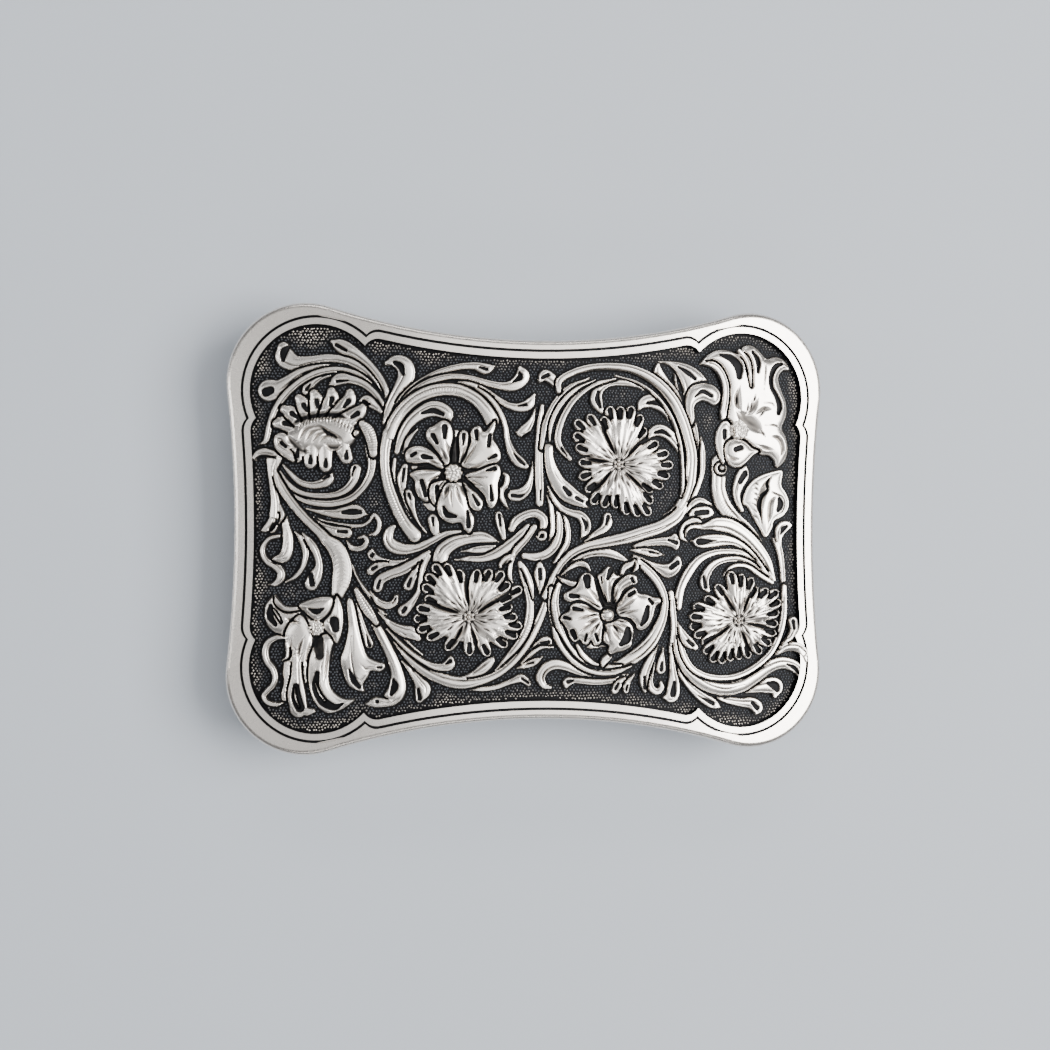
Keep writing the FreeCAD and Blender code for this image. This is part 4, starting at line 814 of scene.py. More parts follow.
lay([(3.4, 20.4), (3.6, 22.0), (5.8, 23.3), (8.4, 24.0), (11.2, 24.2), (14.0, 24.0), (16.6, 23.1),
     (19.0, 21.5), (21.0, 19.2), (22.4, 16.4), (23.3, 13.6), (23.8, 11.2), (23.7, 8.8), (23.4, 6.6),
     (22.7, 4.6), (21.6, 2.9), (20.0, 1.5)],
    [0.4, 0.5, 0.5, 0.52, 0.55, 0.6, 0.68, 0.75, 0.8, 0.8, 0.8, 0.82, 0.88, 0.9, 0.9, 0.9, 0.85], top=0.72, root=0)
cut([(5.6, 22.9), (8.4, 23.6), (11.2, 23.8), (14.0, 23.5), (16.4, 22.6), (18.7, 21.0), (20.6, 18.8),
     (22.0, 16.0)], 0.12)
cut([(23.0, 13.2), (23.4, 11.0), (23.3, 8.6), (22.9, 6.4), (22.0, 4.4)], 0.1)
lay([(12.0, 22.9), (15.2, 22.0), (17.8, 20.4), (19.8, 18.2), (21.2, 15.6), (22.1, 12.4), (22.4, 9.0),
     (22.4, 6.4), (22.1, 5.0)],
    [0.1, 0.2, 0.24, 0.25, 0.25, 0.25, 0.25, 0.25, 0.12])
lay([(25.3, 14.0), (25.5, 12.0), (25.5, 9.0), (25.0, 7.0), (24.3, 5.3), (23.4, 3.6), (22.0, 2.0),
     (20.6, 0.9)],
    [0.15, 0.4, 0.4, 0.35, 0.35, 0.3, 0.3, 0.2])

# %% [markdown]
# Two leaves fill the foot of that ring, and a long stem sweeps left under them to the knot.
# %% Leaves under the upper right carnation
plant("leaves_middle")
lay([(14.0, -4.7), (12.0, -3.7), (9.9, -3.3), (7.7, -3.6), (5.8, -4.6), (4.3, -6.1), (3.2, -7.9),
     (2.3, -9.7)],
    [0.25, 0.6, 0.65, 0.6, 0.55, 0.48, 0.42, 0.4])
lay([(22.6, 3.6), (21.3, 1.9), (19.0, 0.5), (16.5, -0.3), (13.5, -1.2), (10.5, -1.8), (7.8, -2.4),
     (5.6, -3.4), (4.0, -4.9), (2.9, -6.6), (2.2, -8.3), (1.5, -9.8)],
    [0.8, 0.95, 0.95, 0.95, 0.9, 0.75, 0.6, 0.55, 0.5, 0.5, 0.5, 0.5], top=0.72)
cut([(20.8, 1.2), (18.6, 0.2), (16.0, -0.6), (13.0, -1.5), (10.4, -2.0)], 0.12)
cut([(12.4, -3.7), (10.0, -3.6), (7.8, -3.9), (6.0, -4.8)], 0.09)
lay([(7.4, -1.7), (9.0, -0.6), (10.2, 0.1), (10.8, 1.0), (10.8, 2.0)], [0.15, 0.42, 0.62, 0.78, 0.6])
pit([(10.6, 0.8), (10.9, 1.9)], [0.22, 0.34])
lay([(1.9, 6.4), (2.6, 4.8), (3.9, 3.2), (5.4, 2.5), (6.7, 2.1), (7.5, 1.1), (7.5, -0.1), (6.8, -1.3)],
    [0.15, 0.32, 0.42, 0.52, 0.68, 0.8, 0.68, 0.1])
pit([(6.9, 1.8), (7.5, 0.9), (7.5, 0.0)], [0.15, 0.34, 0.22])
sheet([(1.4, 12.4), (1.4, 9.5), (2.1, 7.0), (3.4, 4.9), (5.0, 3.8), (6.8, 3.3), (8.1, 3.2), (7.6, 3.9),
       (8.1, 4.6), (6.7, 5.6), (5.9, 6.3), (5.3, 6.8), (4.3, 7.7), (3.3, 9.3), (2.8, 10.7), (2.6, 12.4)],
    top=0.75)
pit([(4.2, 6.2), (5.0, 5.3)], [0.3, 0.45])
pit([(6.1, 4.7), (7.0, 4.2)], [0.34, 0.25])
cut([(2.2, 9.9), (3.1, 8.0), (4.3, 6.6)], 0.1)
lay([(0.7, -9.4), (0.8, -7.8), (0.75, -6.4), (0.7, -5.2)], [0.15, 0.58, 0.88, 0.5])
pit([(0.72, -5.9), (0.8, -7.2)], [0.36, 0.3])
sheet([(14.6, -2.3), (16.5, -1.5), (18.5, -1.1), (20.3, -0.9), (21.2, -0.4), (22.0, -1.2), (22.0, -2.4),
       (21.5, -3.1), (20.5, -2.6), (19.0, -2.4), (17.0, -2.5), (15.5, -2.8)])
pit([(20.2, -1.5), (21.4, -1.9)], [0.25, 0.36])
lay([(14.4, -3.0), (16.5, -3.2), (18.0, -3.5), (19.6, -3.7)], [0.2, 0.5, 0.55, 0.1])
pit([(17.2, -3.25), (18.6, -3.5)], [0.2, 0.16])
sheet([(14.8, -3.6), (17.0, -4.4), (18.5, -4.9), (20.3, -4.9), (21.4, -3.8), (22.1, -4.0), (22.4, -5.2),
       (21.9, -6.3), (20.9, -7.1), (19.8, -7.2), (18.4, -6.2), (16.8, -5.0), (15.2, -4.4)])
pit([(20.6, -5.6), (21.6, -4.9)], [0.4, 0.4])
plant("carnation_upper_right")
carnation(12.5, 9.7, [(6.6, 15.4), (8.4, 16.2), (6.5, 13.6), (6.9, 12.0), (10.4, 15.8), (11.2, 17.3), (12.7, 17.3),
                      (14.2, 17.4), (15.5, 16.2), (16.0, 14.4), (17.7, 12.6), (19.2, 11.3), (19.8, 9.7),
                      (19.3, 8.2), (18.4, 6.8), (16.9, 6.3), (17.0, 4.7), (16.7, 3.0), (15.2, 2.9), (13.6, 3.2),
                      (12.1, 4.2), (10.5, 4.2), (9.0, 4.6), (8.3, 6.3), (7.4, 8.0), (7.4, 9.9)],
          [169, 112, 43, -46, -135])

# %% [markdown]
# The upper lily opens toward the corner. It is one broad sheet with a petal at each point of its
# outline, parted by folds and dark wells. A thin lip runs up its left side, and two small petals
# hold the stamens from below.
# %% Upper lily and its stem
plant("stem_right")
lay([(28.0, 10.3), (28.1, 8.0), (28.1, 6.0), (28.9, 3.8), (30.6, 1.9), (32.8, 0.2), (34.6, -1.8),
     (36.0, -4.0), (37.0, -6.4)],
    [1.05, 1.1, 1.15, 1.2, 1.0, 0.8, 0.6, 0.5, 0.4], top=0.7)
cut([(28.8, 5.4), (29.4, 3.9), (30.8, 2.4), (32.8, 0.8)], 0.12)
ticks([(28.6, 4.6), (29.3, 3.4), (30.4, 2.3)], 0.9)
cut([(27.5, 9.4), (27.5, 7.0), (27.7, 5.2)], 0.1)
lay([(37.6, -1.4), (38.2, -3.5), (38.6, -6.0), (38.8, -9.0)], [0.65, 0.5, 0.42, 0.4])
lay([(38.1, -2.4), (38.0, -0.9), (38.4, 0.2), (39.2, 0.7), (40.3, 0.8)], [0.3, 0.62, 0.92, 0.78, 0.12])
pit([(38.2, -0.5), (38.6, 0.2), (39.2, 0.6)], [0.2, 0.42, 0.25])
sheet([(38.6, 9.2), (36.3, 8.9), (34.3, 8.1), (32.9, 6.9), (32.1, 5.3), (32.0, 4.0), (32.7, 3.5), (33.5, 2.2),
       (34.6, 0.5), (35.8, -1.2), (36.9, 0.2), (37.3, 1.4), (38.6, 2.0), (39.5, 3.0), (39.8, 4.3),
       (39.3, 5.7), (38.5, 7.0)], top=0.72, crown=0.12)
pit([(36.6, 8.2), (36.0, 7.2), (36.0, 6.1), (35.0, 5.0), (34.7, 3.8), (34.9, 2.6), (35.1, 1.0)],
    [0.1, 0.25, 0.26, 0.38, 0.4, 0.24, 0.08])
fold([(36.4, 8.4), (35.4, 6.2), (34.7, 3.8), (34.9, 1.6)], 0.75, 0.35, 0.7)
fold([(37.6, 5.4), (36.6, 4.2), (36.4, 2.4), (36.2, 0.8)], 0.5, 0.3)
for rib in range(7):  # short strokes beside the leaf's fold
    cut([(34.5, 1.6 + 0.85 * rib), (34.0 + 0.03 * rib, 2.1 + 0.85 * rib),
         (33.3 + 0.05 * rib, 2.3 + 0.85 * rib)], 0.13, 0.25)
cut([(36.1, 6.1), (37.3, 5.6), (38.5, 5.1), (38.9, 4.1), (38.5, 2.9), (37.4, 2.1)], 0.14)
pit([(38.0, 4.8), (38.2, 3.9), (37.8, 3.1)], [0.34, 0.55, 0.35])
lay([(31.9, 3.0), (31.2, 4.4), (31.0, 5.7), (31.4, 7.1), (32.0, 8.4), (32.4, 9.6)],
    [0.3, 0.45, 0.65, 0.88, 1.0, 0.3])
pit([(31.5, 7.3), (32.3, 8.6)], [0.36, 0.5])
cut([(31.0, 5.0), (31.0, 6.2), (31.3, 7.0)], 0.1)
lay([(28.4, 9.3), (28.5, 9.3)], [0.95, 0.95], root=0)
pit([(28.55, 9.35), (28.65, 9.35)], [0.72, 0.72], sink=0.5)
lay([(28.6, 9.4), (28.65, 9.4)], [0.38, 0.38], top=0.7, rim=0.0, crown=0.5, root=0, crease=0)
plant("lily_right")
sheet([(28.8, 16.6), (29.0, 19.8), (28.6, 23.2), (27.0, 24.9), (25.1, 25.0), (26.3, 26.5), (28.0, 27.3),
       (29.8, 27.2), (31.1, 26.8), (31.9, 27.9), (33.2, 28.2), (34.6, 27.4), (35.8, 26.3), (37.4, 26.6),
       (38.9, 26.0), (39.7, 24.5), (38.6, 24.3), (37.9, 23.2), (38.4, 21.4), (39.1, 19.8), (39.3, 18.0),
       (38.9, 16.6), (38.5, 15.6), (39.2, 14.2), (39.5, 12.4), (39.1, 10.8), (38.0, 9.6), (37.3, 9.7),
       (37.0, 10.6), (36.2, 11.3), (35.0, 11.4), (33.4, 12.2), (30.4, 13.8)], top=0.85, crown=0.3)
for path, width, sink in (([(30.2, 18.6), (32.2, 16.8), (33.6, 15.9), (35.2, 14.4)], 1.25, 0.4),
                          ([(32.0, 17.2), (33.4, 18.4), (34.4, 20.4)], 0.7, 0.3),
                          ([(31.6, 17.6), (30.9, 19.6), (31.3, 22.2)], 0.75, 0.35),
                          ([(33.4, 17.4), (35.2, 18.4), (36.8, 18.4)], 0.5, 0.25),
                          ([(36.2, 14.4), (37.8, 14.0), (38.5, 12.6), (38.0, 11.0)], 0.5, 0.35),
                          ([(33.9, 13.0), (35.6, 12.5), (37.0, 12.2)], 0.4, 0.25)):
    fold(path, width, sink, 0.75)
pit([(38.3, 25.4), (37.2, 24.9), (36.5, 23.4), (36.6, 21.8), (37.4, 20.4), (37.9, 19.0), (37.7, 17.9)],
    [0.26, 0.44, 0.42, 0.4, 0.44, 0.52, 0.36], sink=0.6)
pit([(28.3, 26.4), (30.0, 25.9), (31.1, 24.7), (31.2, 23.2)], [0.3, 0.62, 0.75, 0.45], sink=0.5, black=0.85)
pit([(33.5, 27.0), (34.3, 25.7), (34.3, 24.0)], [0.3, 0.46, 0.22], sink=0.6)
lay([(31.2, 27.2), (32.5, 25.8), (33.0, 23.8), (33.2, 21.8)], [0.3, 0.42, 0.36, 0.15], top=1.0, crown=0.1)
cut([(31.0, 26.9), (32.1, 25.6), (32.7, 23.8), (32.8, 21.9)], 0.17, 0.4)
cut([(35.5, 26.0), (35.5, 24.0), (35.2, 21.4)], 0.12)
cut([(35.2, 19.4), (36.6, 19.3), (37.2, 18.2)], 0.1)
cut([(38.5, 15.5), (37.0, 16.0), (35.4, 16.0)], 0.13)
for foot, tip in (((33.0, 18.0), (33.2, 19.6)), ((34.4, 17.2), (35.4, 18.4)), ((33.4, 19.2), (33.8, 20.6)),
                  ((30.6, 18.4), (30.8, 20.6)), ((34.6, 15.2), (35.4, 14.2)), ((32.4, 17.6), (32.6, 19.2))):
    cut([foot, ((foot[0] + tip[0]) / 2 + 0.1, (foot[1] + tip[1]) / 2), tip], 0.15, 0.3)
lay([(25.1, 25.0), (27.0, 24.9), (28.3, 23.8), (29.1, 21.8), (29.1, 19.8), (28.8, 18.0), (28.8, 16.6)],
    [0.12, 0.5, 0.55, 0.52, 0.52, 0.55, 0.4], top=0.8)
sheet([(29.4, 16.6), (28.4, 16.2), (27.6, 14.6), (27.6, 12.6), (28.2, 10.8), (28.9, 9.9), (29.5, 11.4),
       (29.6, 13.4), (30.4, 14.6), (30.1, 15.9)], crown=0.15)
pit([(29.0, 14.9), (29.0, 14.0)], [0.42, 0.36])
sheet([(29.0, 12.6), (29.7, 13.6), (30.9, 13.9), (32.4, 13.5), (33.5, 12.6), (34.7, 12.0), (33.6, 11.2),
       (32.4, 10.0), (31.2, 9.4), (30.0, 9.6), (29.2, 10.8)], top=0.9, crown=0.2)
pit([(30.7, 12.2), (31.6, 12.5)], [0.42, 0.42])
fold([(29.2, 11.6), (30.2, 10.8), (31.6, 10.8)], 0.34)
beads(31.2, 15.1, 1.15, 0.26, 0.85)

# %% [markdown]
# The right edge has the third carnation in a ring whose three strands open like a shell, with two
# long leaves above it that come off the lily stem.
# %% Ring and leaves on the right
plant("ring_right")
lay([(22.9, 2.6), (23.9, 3.9), (25.1, 4.5), (26.5, 4.0), (27.3, 3.2)], [0.2, 0.42, 0.42, 0.32, 0.15])
lay([(23.6, 2.3), (24.6, 2.5), (26.2, 2.7), (27.0, 2.6)], [0.3, 0.9, 0.9, 0.4], root=0)
pit([(24.5, 2.5), (26.2, 2.7)], [0.42, 0.42])
lay([(25.8, 1.0), (24.4, 1.5), (23.1, 1.1), (22.3, 0.1), (22.4, -1.1), (23.2, -1.8)],
    [0.2, 0.36, 0.38, 0.38, 0.36, 0.15])
lay([(37.2, -7.6), (36.0, -4.8), (34.2, -2.4), (32.2, -0.6), (30.0, 0.6), (28.0, 0.9), (27.0, 0.8),
     (25.5, 0.5), (24.0, 0.5), (23.1, 0.0), (22.9, -0.9)],
    [0.3, 0.8, 0.95, 1.0, 1.1, 1.05, 0.75, 0.4, 0.3, 0.25, 0.12])
cut([(36.0, -5.6), (34.4, -3.2), (32.0, -1.1), (29.8, 0.1), (27.8, 0.5)], 0.1)
lay([(36.4, -7.2), (34.8, -5.2), (33.0, -3.2), (31.0, -1.9), (29.0, -1.5), (27.0, -1.6), (25.2, -1.8),
     (23.8, -1.6)],
    [0.3, 0.4, 0.46, 0.55, 0.8, 1.0, 0.88, 0.12])
pit([(27.6, -1.6), (25.0, -1.75)], [0.12, 0.55])
lay([(21.7, -11.5), (22.2, -8.6), (23.6, -6.0), (25.2, -4.3), (27.4, -3.4), (29.8, -3.2), (32.0, -3.5),
     (34.0, -4.6)],
    [0.6, 0.65, 0.7, 0.6, 0.46, 0.42, 0.38, 0.15])
lay([(35.4, -6.6), (33.6, -5.2), (31.4, -4.4), (29.0, -4.5), (27.2, -5.3), (26.1, -6.8), (25.9, -8.2),
     (26.5, -9.1)],
    [0.15, 0.36, 0.42, 0.46, 0.56, 0.68, 0.72, 0.32])
pit([(25.7, -7.0), (26.0, -8.5)], [0.24, 0.36])
lay([(36.9, -8.0), (35.0, -6.9), (33.0, -5.6), (31.2, -5.3), (29.8, -5.8), (29.0, -6.9)],
    [0.3, 0.36, 0.32, 0.3, 0.26, 0.1])
lay([(20.6, -9.4), (20.9, -12.0), (21.1, -14.5), (20.9, -17.0), (20.6, -18.4)], [0.45, 0.5, 0.5, 0.5, 0.3])
lay([(31.5, -24.3), (34.3, -23.9), (36.2, -23.7), (37.6, -23.9), (37.4, -25.4)], [0.5, 0.85, 1.2, 1.2, 0.3])
pit([(36.2, -23.3), (37.3, -23.7), (37.7, -24.3)], [0.3, 0.68, 0.45])
lay([(27.4, -25.1), (29.6, -25.7), (31.8, -26.1), (33.6, -26.3), (34.5, -27.0), (34.2, -28.0)],
    [0.2, 0.5, 0.68, 0.9, 0.92, 0.2])
pit([(33.6, -26.2), (34.4, -27.0)], [0.3, 0.42])
lay([(21.0, -18.8), (21.9, -21.0), (23.4, -23.2), (25.4, -25.0), (27.2, -26.1), (28.6, -26.8)],
    [0.15, 0.34, 0.48, 0.72, 0.78, 0.12])
pit([(25.0, -24.9), (27.2, -26.1)], [0.14, 0.34])
lay([(37.0, -19.0), (38.2, -18.3), (39.4, -17.8), (41.0, -17.9), (42.1, -18.7), (42.5, -20.1)],
    [0.3, 0.5, 0.75, 0.78, 0.7, 0.25], top=1.12)
pit([(41.4, -18.1), (42.1, -18.9)], [0.25, 0.36])
lay([(38.6, -17.3), (39.8, -16.4), (40.5, -15.2), (40.3, -13.9)], [0.2, 0.46, 0.68, 0.76], top=1.05)
pit([(40.4, -15.0), (40.2, -13.9)], [0.25, 0.36])
lay([(21.4, -16.0), (21.9, -18.5), (23.4, -21.0), (25.8, -22.8), (28.6, -23.6), (31.5, -23.4), (34.0, -22.2),
     (36.3, -20.9), (38.5, -20.3), (40.5, -20.8), (41.8, -22.0), (41.4, -23.2)],
    [0.5, 0.7, 0.9, 1.15, 1.35, 1.3, 1.15, 0.98, 0.95, 0.92, 0.68, 0.2], top=0.72)
pit([(39.3, -20.5), (40.6, -21.1), (41.3, -22.0)], [0.15, 0.36, 0.24])
cut([(22.8, -19.4), (24.2, -21.4), (26.6, -23.2), (29.4, -23.9), (32.2, -23.4)], 0.12)
cut([(30.0, -22.9), (32.6, -22.4), (35.2, -21.1), (37.6, -20.2)], 0.1)
lay([(22.0, -14.8), (22.5, -18.2), (24.0, -20.7), (26.5, -22.0), (29.5, -22.3), (32.0, -21.8), (34.5, -20.5),
     (36.8, -18.5), (38.3, -15.5), (38.9, -12.5), (38.9, -8.6)],
    [0.45, 0.45, 0.45, 0.45, 0.45, 0.45, 0.45, 0.48, 0.5, 0.48, 0.4])
ticks([(38.0, -16.4), (38.8, -13.2), (38.9, -10.2)], 0.5)
lay([(21.7, -13.8), (22.5, -15.6), (23.4, -16.8), (24.5, -17.6)], [0.15, 0.58, 0.8, 0.45])
pit([(23.2, -16.6), (24.0, -17.2)], [0.28, 0.34])
plant("carnation_right")
carnation(31.4, -13.7, [(28.3, -9.0), (26.7, -10.6), (25.0, -11.6), (24.5, -13.0), (24.5, -14.4), (25.2, -15.6),
                        (26.4, -16.6), (26.6, -17.9), (27.5, -19.0), (28.8, -19.2), (30.1, -18.8), (31.4, -18.6),
                        (32.8, -18.5), (34.4, -18.0), (35.8, -16.9), (36.6, -15.5), (36.8, -14.2), (37.0, -12.7),
                        (37.3, -11.2), (37.0, -9.8), (35.4, -9.6), (33.8, -9.4), (33.2, -8.1), (31.7, -7.6),
                        (30.2, -7.2)], [118, 62, -16, -72, -150])

# %% [markdown]
# Under the middle a second rose lies in a ring of four nested strands. The strands are laid from
# the outermost in, and small forked leaves hang below the ring.
# %% Ring and leaves under the lower rose
plant("ring_lower_middle")
lay([(13.6, -21.5), (11.0, -21.7), (8.5, -21.5), (6.4, -20.9), (4.6, -20.1), (3.0, -19.8), (1.6, -20.4),
     (0.9, -21.6), (1.3, -22.8), (2.3, -23.2)],
    [0.15, 0.32, 0.38, 0.46, 0.65, 0.78, 0.76, 0.7, 0.52, 0.28])
cut([(3.0, -19.9), (1.7, -20.7), (1.2, -21.8), (1.6, -22.7)], 0.14)
lay([(14.0, -21.5), (11.8, -22.3), (9.3, -22.5), (7.2, -22.3), (5.8, -22.2), (4.9, -22.4), (4.7, -23.0)],
    [0.15, 0.36, 0.46, 0.46, 0.44, 0.7, 0.38])
pit([(5.6, -22.2), (4.9, -22.4)], [0.24, 0.32])
lay([(14.6, -21.8), (13.3, -22.3), (12.4, -23.1), (12.0, -23.8)], [0.15, 0.42, 0.62, 0.55])
pit([(12.5, -22.8), (12.1, -23.5)], [0.24, 0.3])
lay([(15.0, -21.4), (14.2, -22.4), (13.8, -23.2), (13.7, -23.9)], [0.15, 0.34, 0.5, 0.4])
pit([(13.9, -23.1), (13.75, -23.7)], [0.2, 0.24])
lay([(20.6, -17.5), (20.8, -19.5), (21.0, -21.5), (21.1, -23.3), (20.8, -24.8), (19.6, -25.0)],
    [0.2, 0.36, 0.58, 0.95, 1.0, 0.25])
pit([(21.1, -22.8), (20.9, -24.5)], [0.3, 0.5])
cut([(20.6, -19.4), (20.6, -21.2), (20.4, -22.6)], 0.1)
lay([(18.4, -18.4), (17.8, -20.4), (17.4, -22.2), (17.6, -23.5), (18.5, -24.1), (19.2, -23.5), (19.1, -22.7)],
    [0.15, 0.36, 0.46, 0.52, 0.52, 0.42, 0.22])
lay([(18.6, -17.2), (17.5, -19.2), (16.7, -21.0), (16.4, -22.6), (16.6, -24.0)],
    [0.15, 0.55, 0.68, 0.62, 0.25])
pit([(16.5, -21.9), (16.6, -23.5)], [0.26, 0.32])
lay([(19.5, -17.6), (19.2, -19.4), (19.1, -20.8)], [0.1, 0.52, 0.72])
pit([(19.2, -19.8), (19.1, -20.8)], [0.25, 0.34])
lay([(14.9, -4.3), (17.0, -6.0), (18.7, -8.0), (19.6, -10.2), (19.5, -12.4), (18.8, -14.4), (17.5, -16.6),
     (15.6, -18.4), (13.4, -19.7), (11.2, -20.3)],
    [0.45, 0.6, 0.6, 0.55, 0.6, 0.8, 1.0, 1.0, 0.85, 0.35], top=0.72)
cut([(19.0, -14.6), (17.8, -16.8), (15.8, -18.8), (13.2, -20.0)], 0.13)
cut([(18.2, -14.6), (16.8, -16.6), (14.8, -18.2), (12.0, -19.3)], 0.13)
lay([(2.9, -13.4), (3.2, -15.3), (4.2, -17.4), (5.8, -19.2), (7.8, -20.5), (10.0, -21.1), (12.3, -21.0),
     (14.5, -20.2)],
    [0.42, 0.58, 0.54, 0.52, 0.5, 0.46, 0.38, 0.2])
lay([(2.4, -8.6), (2.5, -11.2), (2.9, -13.6)], [0.3, 0.5, 0.4], root=0)
lay([(5.8, -4.9), (4.4, -6.6), (3.4, -8.6), (3.0, -10.8), (3.4, -13.4), (4.0, -15.0), (5.2, -17.2),
     (6.8, -18.9), (8.8, -19.9), (11.0, -20.2), (13.0, -20.1)],
    [0.15, 0.32, 0.4, 0.55, 0.6, 0.42, 0.34, 0.36, 0.36, 0.32, 0.15])
ticks([(3.2, -10.2), (3.1, -11.8), (3.6, -14.0), (4.4, -15.8)], 0.85)
lay([(6.3, -17.0), (7.2, -18.4), (8.6, -19.6), (10.2, -20.1)], [0.25, 0.36, 0.36, 0.15])

# %% [markdown]
# The lower rose. Its petals are laid from the back one forward, each with its rolled lip and a
# dark well, round a single smooth heart.
# %% Lower rose
plant("rose_lower")
lay([(8.2, -6.0), (7.6, -5.2), (6.6, -5.0), (5.2, -5.6), (3.8, -6.8)], [0.2, 0.38, 0.4, 0.3, 0.1], top=0.8)
lay([(6.6, -8.1), (5.4, -7.9), (4.3, -7.5), (3.4, -6.9)], [0.5, 0.42, 0.35, 0.1], top=0.8)
lay([(13.0, -6.5), (13.4, -5.6), (14.3, -5.1), (15.0, -4.4)], [0.3, 0.45, 0.42, 0.12], top=0.8)
lay([(15.2, -4.5), (15.3, -5.5), (14.8, -6.2)], [0.12, 0.32, 0.2], top=0.8)
lay([(11.4, -17.2), (11.2, -18.5), (10.4, -19.3), (10.1, -20.1)], [0.6, 0.5, 0.55, 0.25], top=0.8)
under_petals(10.9, -12.6, 5.2)
petal([(10.6, -10.6), (10.0, -9.0), (9.5, -7.6), (9.3, -6.7), (9.9, -6.3), (10.2, -5.9), (10.9, -5.3),
       (11.6, -5.7), (12.1, -6.5), (13.0, -6.9), (12.0, -7.6), (11.5, -9.0), (11.4, -10.6)],
      [([(11.3, -6.1), (10.8, -7.2)], [0.5, 0.3]), ([(9.9, -7.0), (10.0, -7.8)], [0.2, 0.18])])
petal([(11.8, -11.0), (11.8, -9.4), (12.0, -8.2), (13.0, -7.1), (14.2, -6.5), (15.3, -6.8), (15.4, -8.0),
       (14.4, -8.3), (13.3, -9.0), (12.6, -10.4)],
      [([(14.5, -7.2), (14.8, -7.7)], [0.32, 0.3])])
petal([(12.2, -11.4), (13.2, -9.8), (14.0, -8.9), (15.1, -8.5), (15.7, -9.3), (16.9, -9.5), (17.8, -9.9),
       (18.9, -10.1), (19.1, -10.8), (18.3, -11.5), (17.9, -13.0), (17.2, -14.3), (16.2, -15.0),
       (15.4, -14.8), (15.0, -13.9), (14.0, -13.1), (12.6, -12.8)],
      [([(14.1, -9.7), (14.9, -9.2)], [0.34, 0.32]),
       ([(16.9, -11.5), (16.6, -13.0), (16.0, -14.1)], [0.36, 0.55, 0.3]),
       ([(17.2, -10.3), (17.7, -10.9)], [0.28, 0.3])])
petal([(11.6, -13.6), (12.8, -13.1), (14.2, -13.6), (14.9, -14.8), (14.7, -16.3), (14.5, -17.3),
       (13.3, -18.0), (12.3, -18.2), (11.4, -18.5), (10.9, -17.9), (11.0, -17.2), (10.2, -16.5),
       (10.2, -15.0), (10.6, -13.8)],
      [([(13.9, -14.8), (13.8, -16.0), (12.9, -16.9)], [0.5, 0.75, 0.4])])
petal([(10.0, -12.6), (8.8, -11.6), (7.6, -11.0), (6.4, -10.7), (5.4, -11.0), (5.0, -11.9), (4.2, -12.4),
       (3.7, -13.2), (4.3, -14.0), (4.9, -15.0), (5.2, -15.9), (5.9, -16.6), (6.7, -16.3), (7.2, -16.9),
       (7.9, -17.0), (8.4, -16.4), (9.0, -17.1), (9.8, -16.9), (10.1, -15.8), (10.2, -13.8)],
      [([(5.8, -11.6), (7.0, -11.8)], [0.38, 0.3]), ([(5.6, -15.0), (6.0, -15.9)], [0.5, 0.42]),
       ([(7.7, -15.4), (7.5, -16.3)], [0.22, 0.26]), ([(9.0, -15.4), (9.4, -16.3)], [0.26, 0.28]),
       ([(4.4, -12.9), (5.2, -13.1)], [0.35, 0.25])])
petal([(10.2, -11.8), (9.6, -10.0), (9.1, -8.2), (8.8, -6.9), (8.2, -6.4), (7.3, -6.4), (6.6, -7.0),
       (6.2, -8.2), (5.2, -8.8), (4.3, -9.4), (4.3, -10.3), (5.2, -10.7), (6.4, -10.4), (7.8, -10.8),
       (9.2, -11.8)],
      [([(7.7, -7.1), (7.8, -8.2)], [0.65, 0.5]), ([(5.3, -9.7), (6.4, -9.8)], [0.42, 0.34])])
veins(10.9, -12.6, [(-35, 4.0), (-14, 4.6), (4, 5.0), (26, 5.2), (44, 4.4), (66, 5.0), (84, 5.6),
                    (104, 5.4), (122, 5.6), (142, 5.4), (158, 5.6), (182, 5.2), (205, 5.4), (222, 4.8),
                    (242, 4.8), (268, 4.4), (290, 4.6), (308, 4.2)])
for angle, far in ((8, 3.4), (60, 3.0), (96, 4.2), (140, 3.6), (178, 3.2), (225, 3.4), (262, 2.8),
                   (300, 3.2), (335, 3.0)):
    cut(ray(10.9, -12.6, angle, ((1.4, -0.1), (2.2, 0.0), (far, 0.08))), 0.2, 0.35)
for angle in (20, 68, 112, 160, 200, 255, 300):
    fold(ray(10.9, -12.6, angle, ((1.1, 0.0), (2.3, 0.0), (4.0, 0.0))), 0.5, 0.3, 0.8)
lay([(10.85, -12.6), (10.95, -12.6)], [0.95, 0.95], top=0.7, rim=0.0, crown=0.5, root=0, crease=0)
print(len(plants) - 1, "pieces of relief on", int((owner > 0).sum()), "grid places")
print("tallest", round(float(height.max()), 2), "mm")

# %% [markdown]
# The finished casting is dipped in a blackening bath and then polished. The black stays wherever
# the buffing wheel can't reach: in pits, beside edges and low between strands. The same amount also
# paints the shade that falls beside edges and in low places, and a broader painted shade over wide
# low areas. A place is low when the mean height round it is above its own, so the black and the
# painted shade follow from the heights alone.
# %% Meshes: how much black and painted shade each place gets
def local_mean(field, reach):
    """The mean over a square of that reach, taken twice so that it falls off softly."""
    span = int(reach / PITCH)
    for axis in (0, 0, 1, 1):
        padding = [(span + 1, span) if side == axis else (0, 0) for side in (0, 1)]
        sums = np.cumsum(np.pad(field, padding, mode="edge"), axis=axis)
        window_end = np.take(sums, range(2 * span + 1, sums.shape[axis]), axis=axis)
        window_start = np.take(sums, range(0, sums.shape[axis] - 2 * span - 1), axis=axis)
        field = (window_end - window_start) / (2 * span + 1)
    return field


lowness = local_mean(height, 0.5) - height
wide_lowness = local_mean(height, 1.6) - height
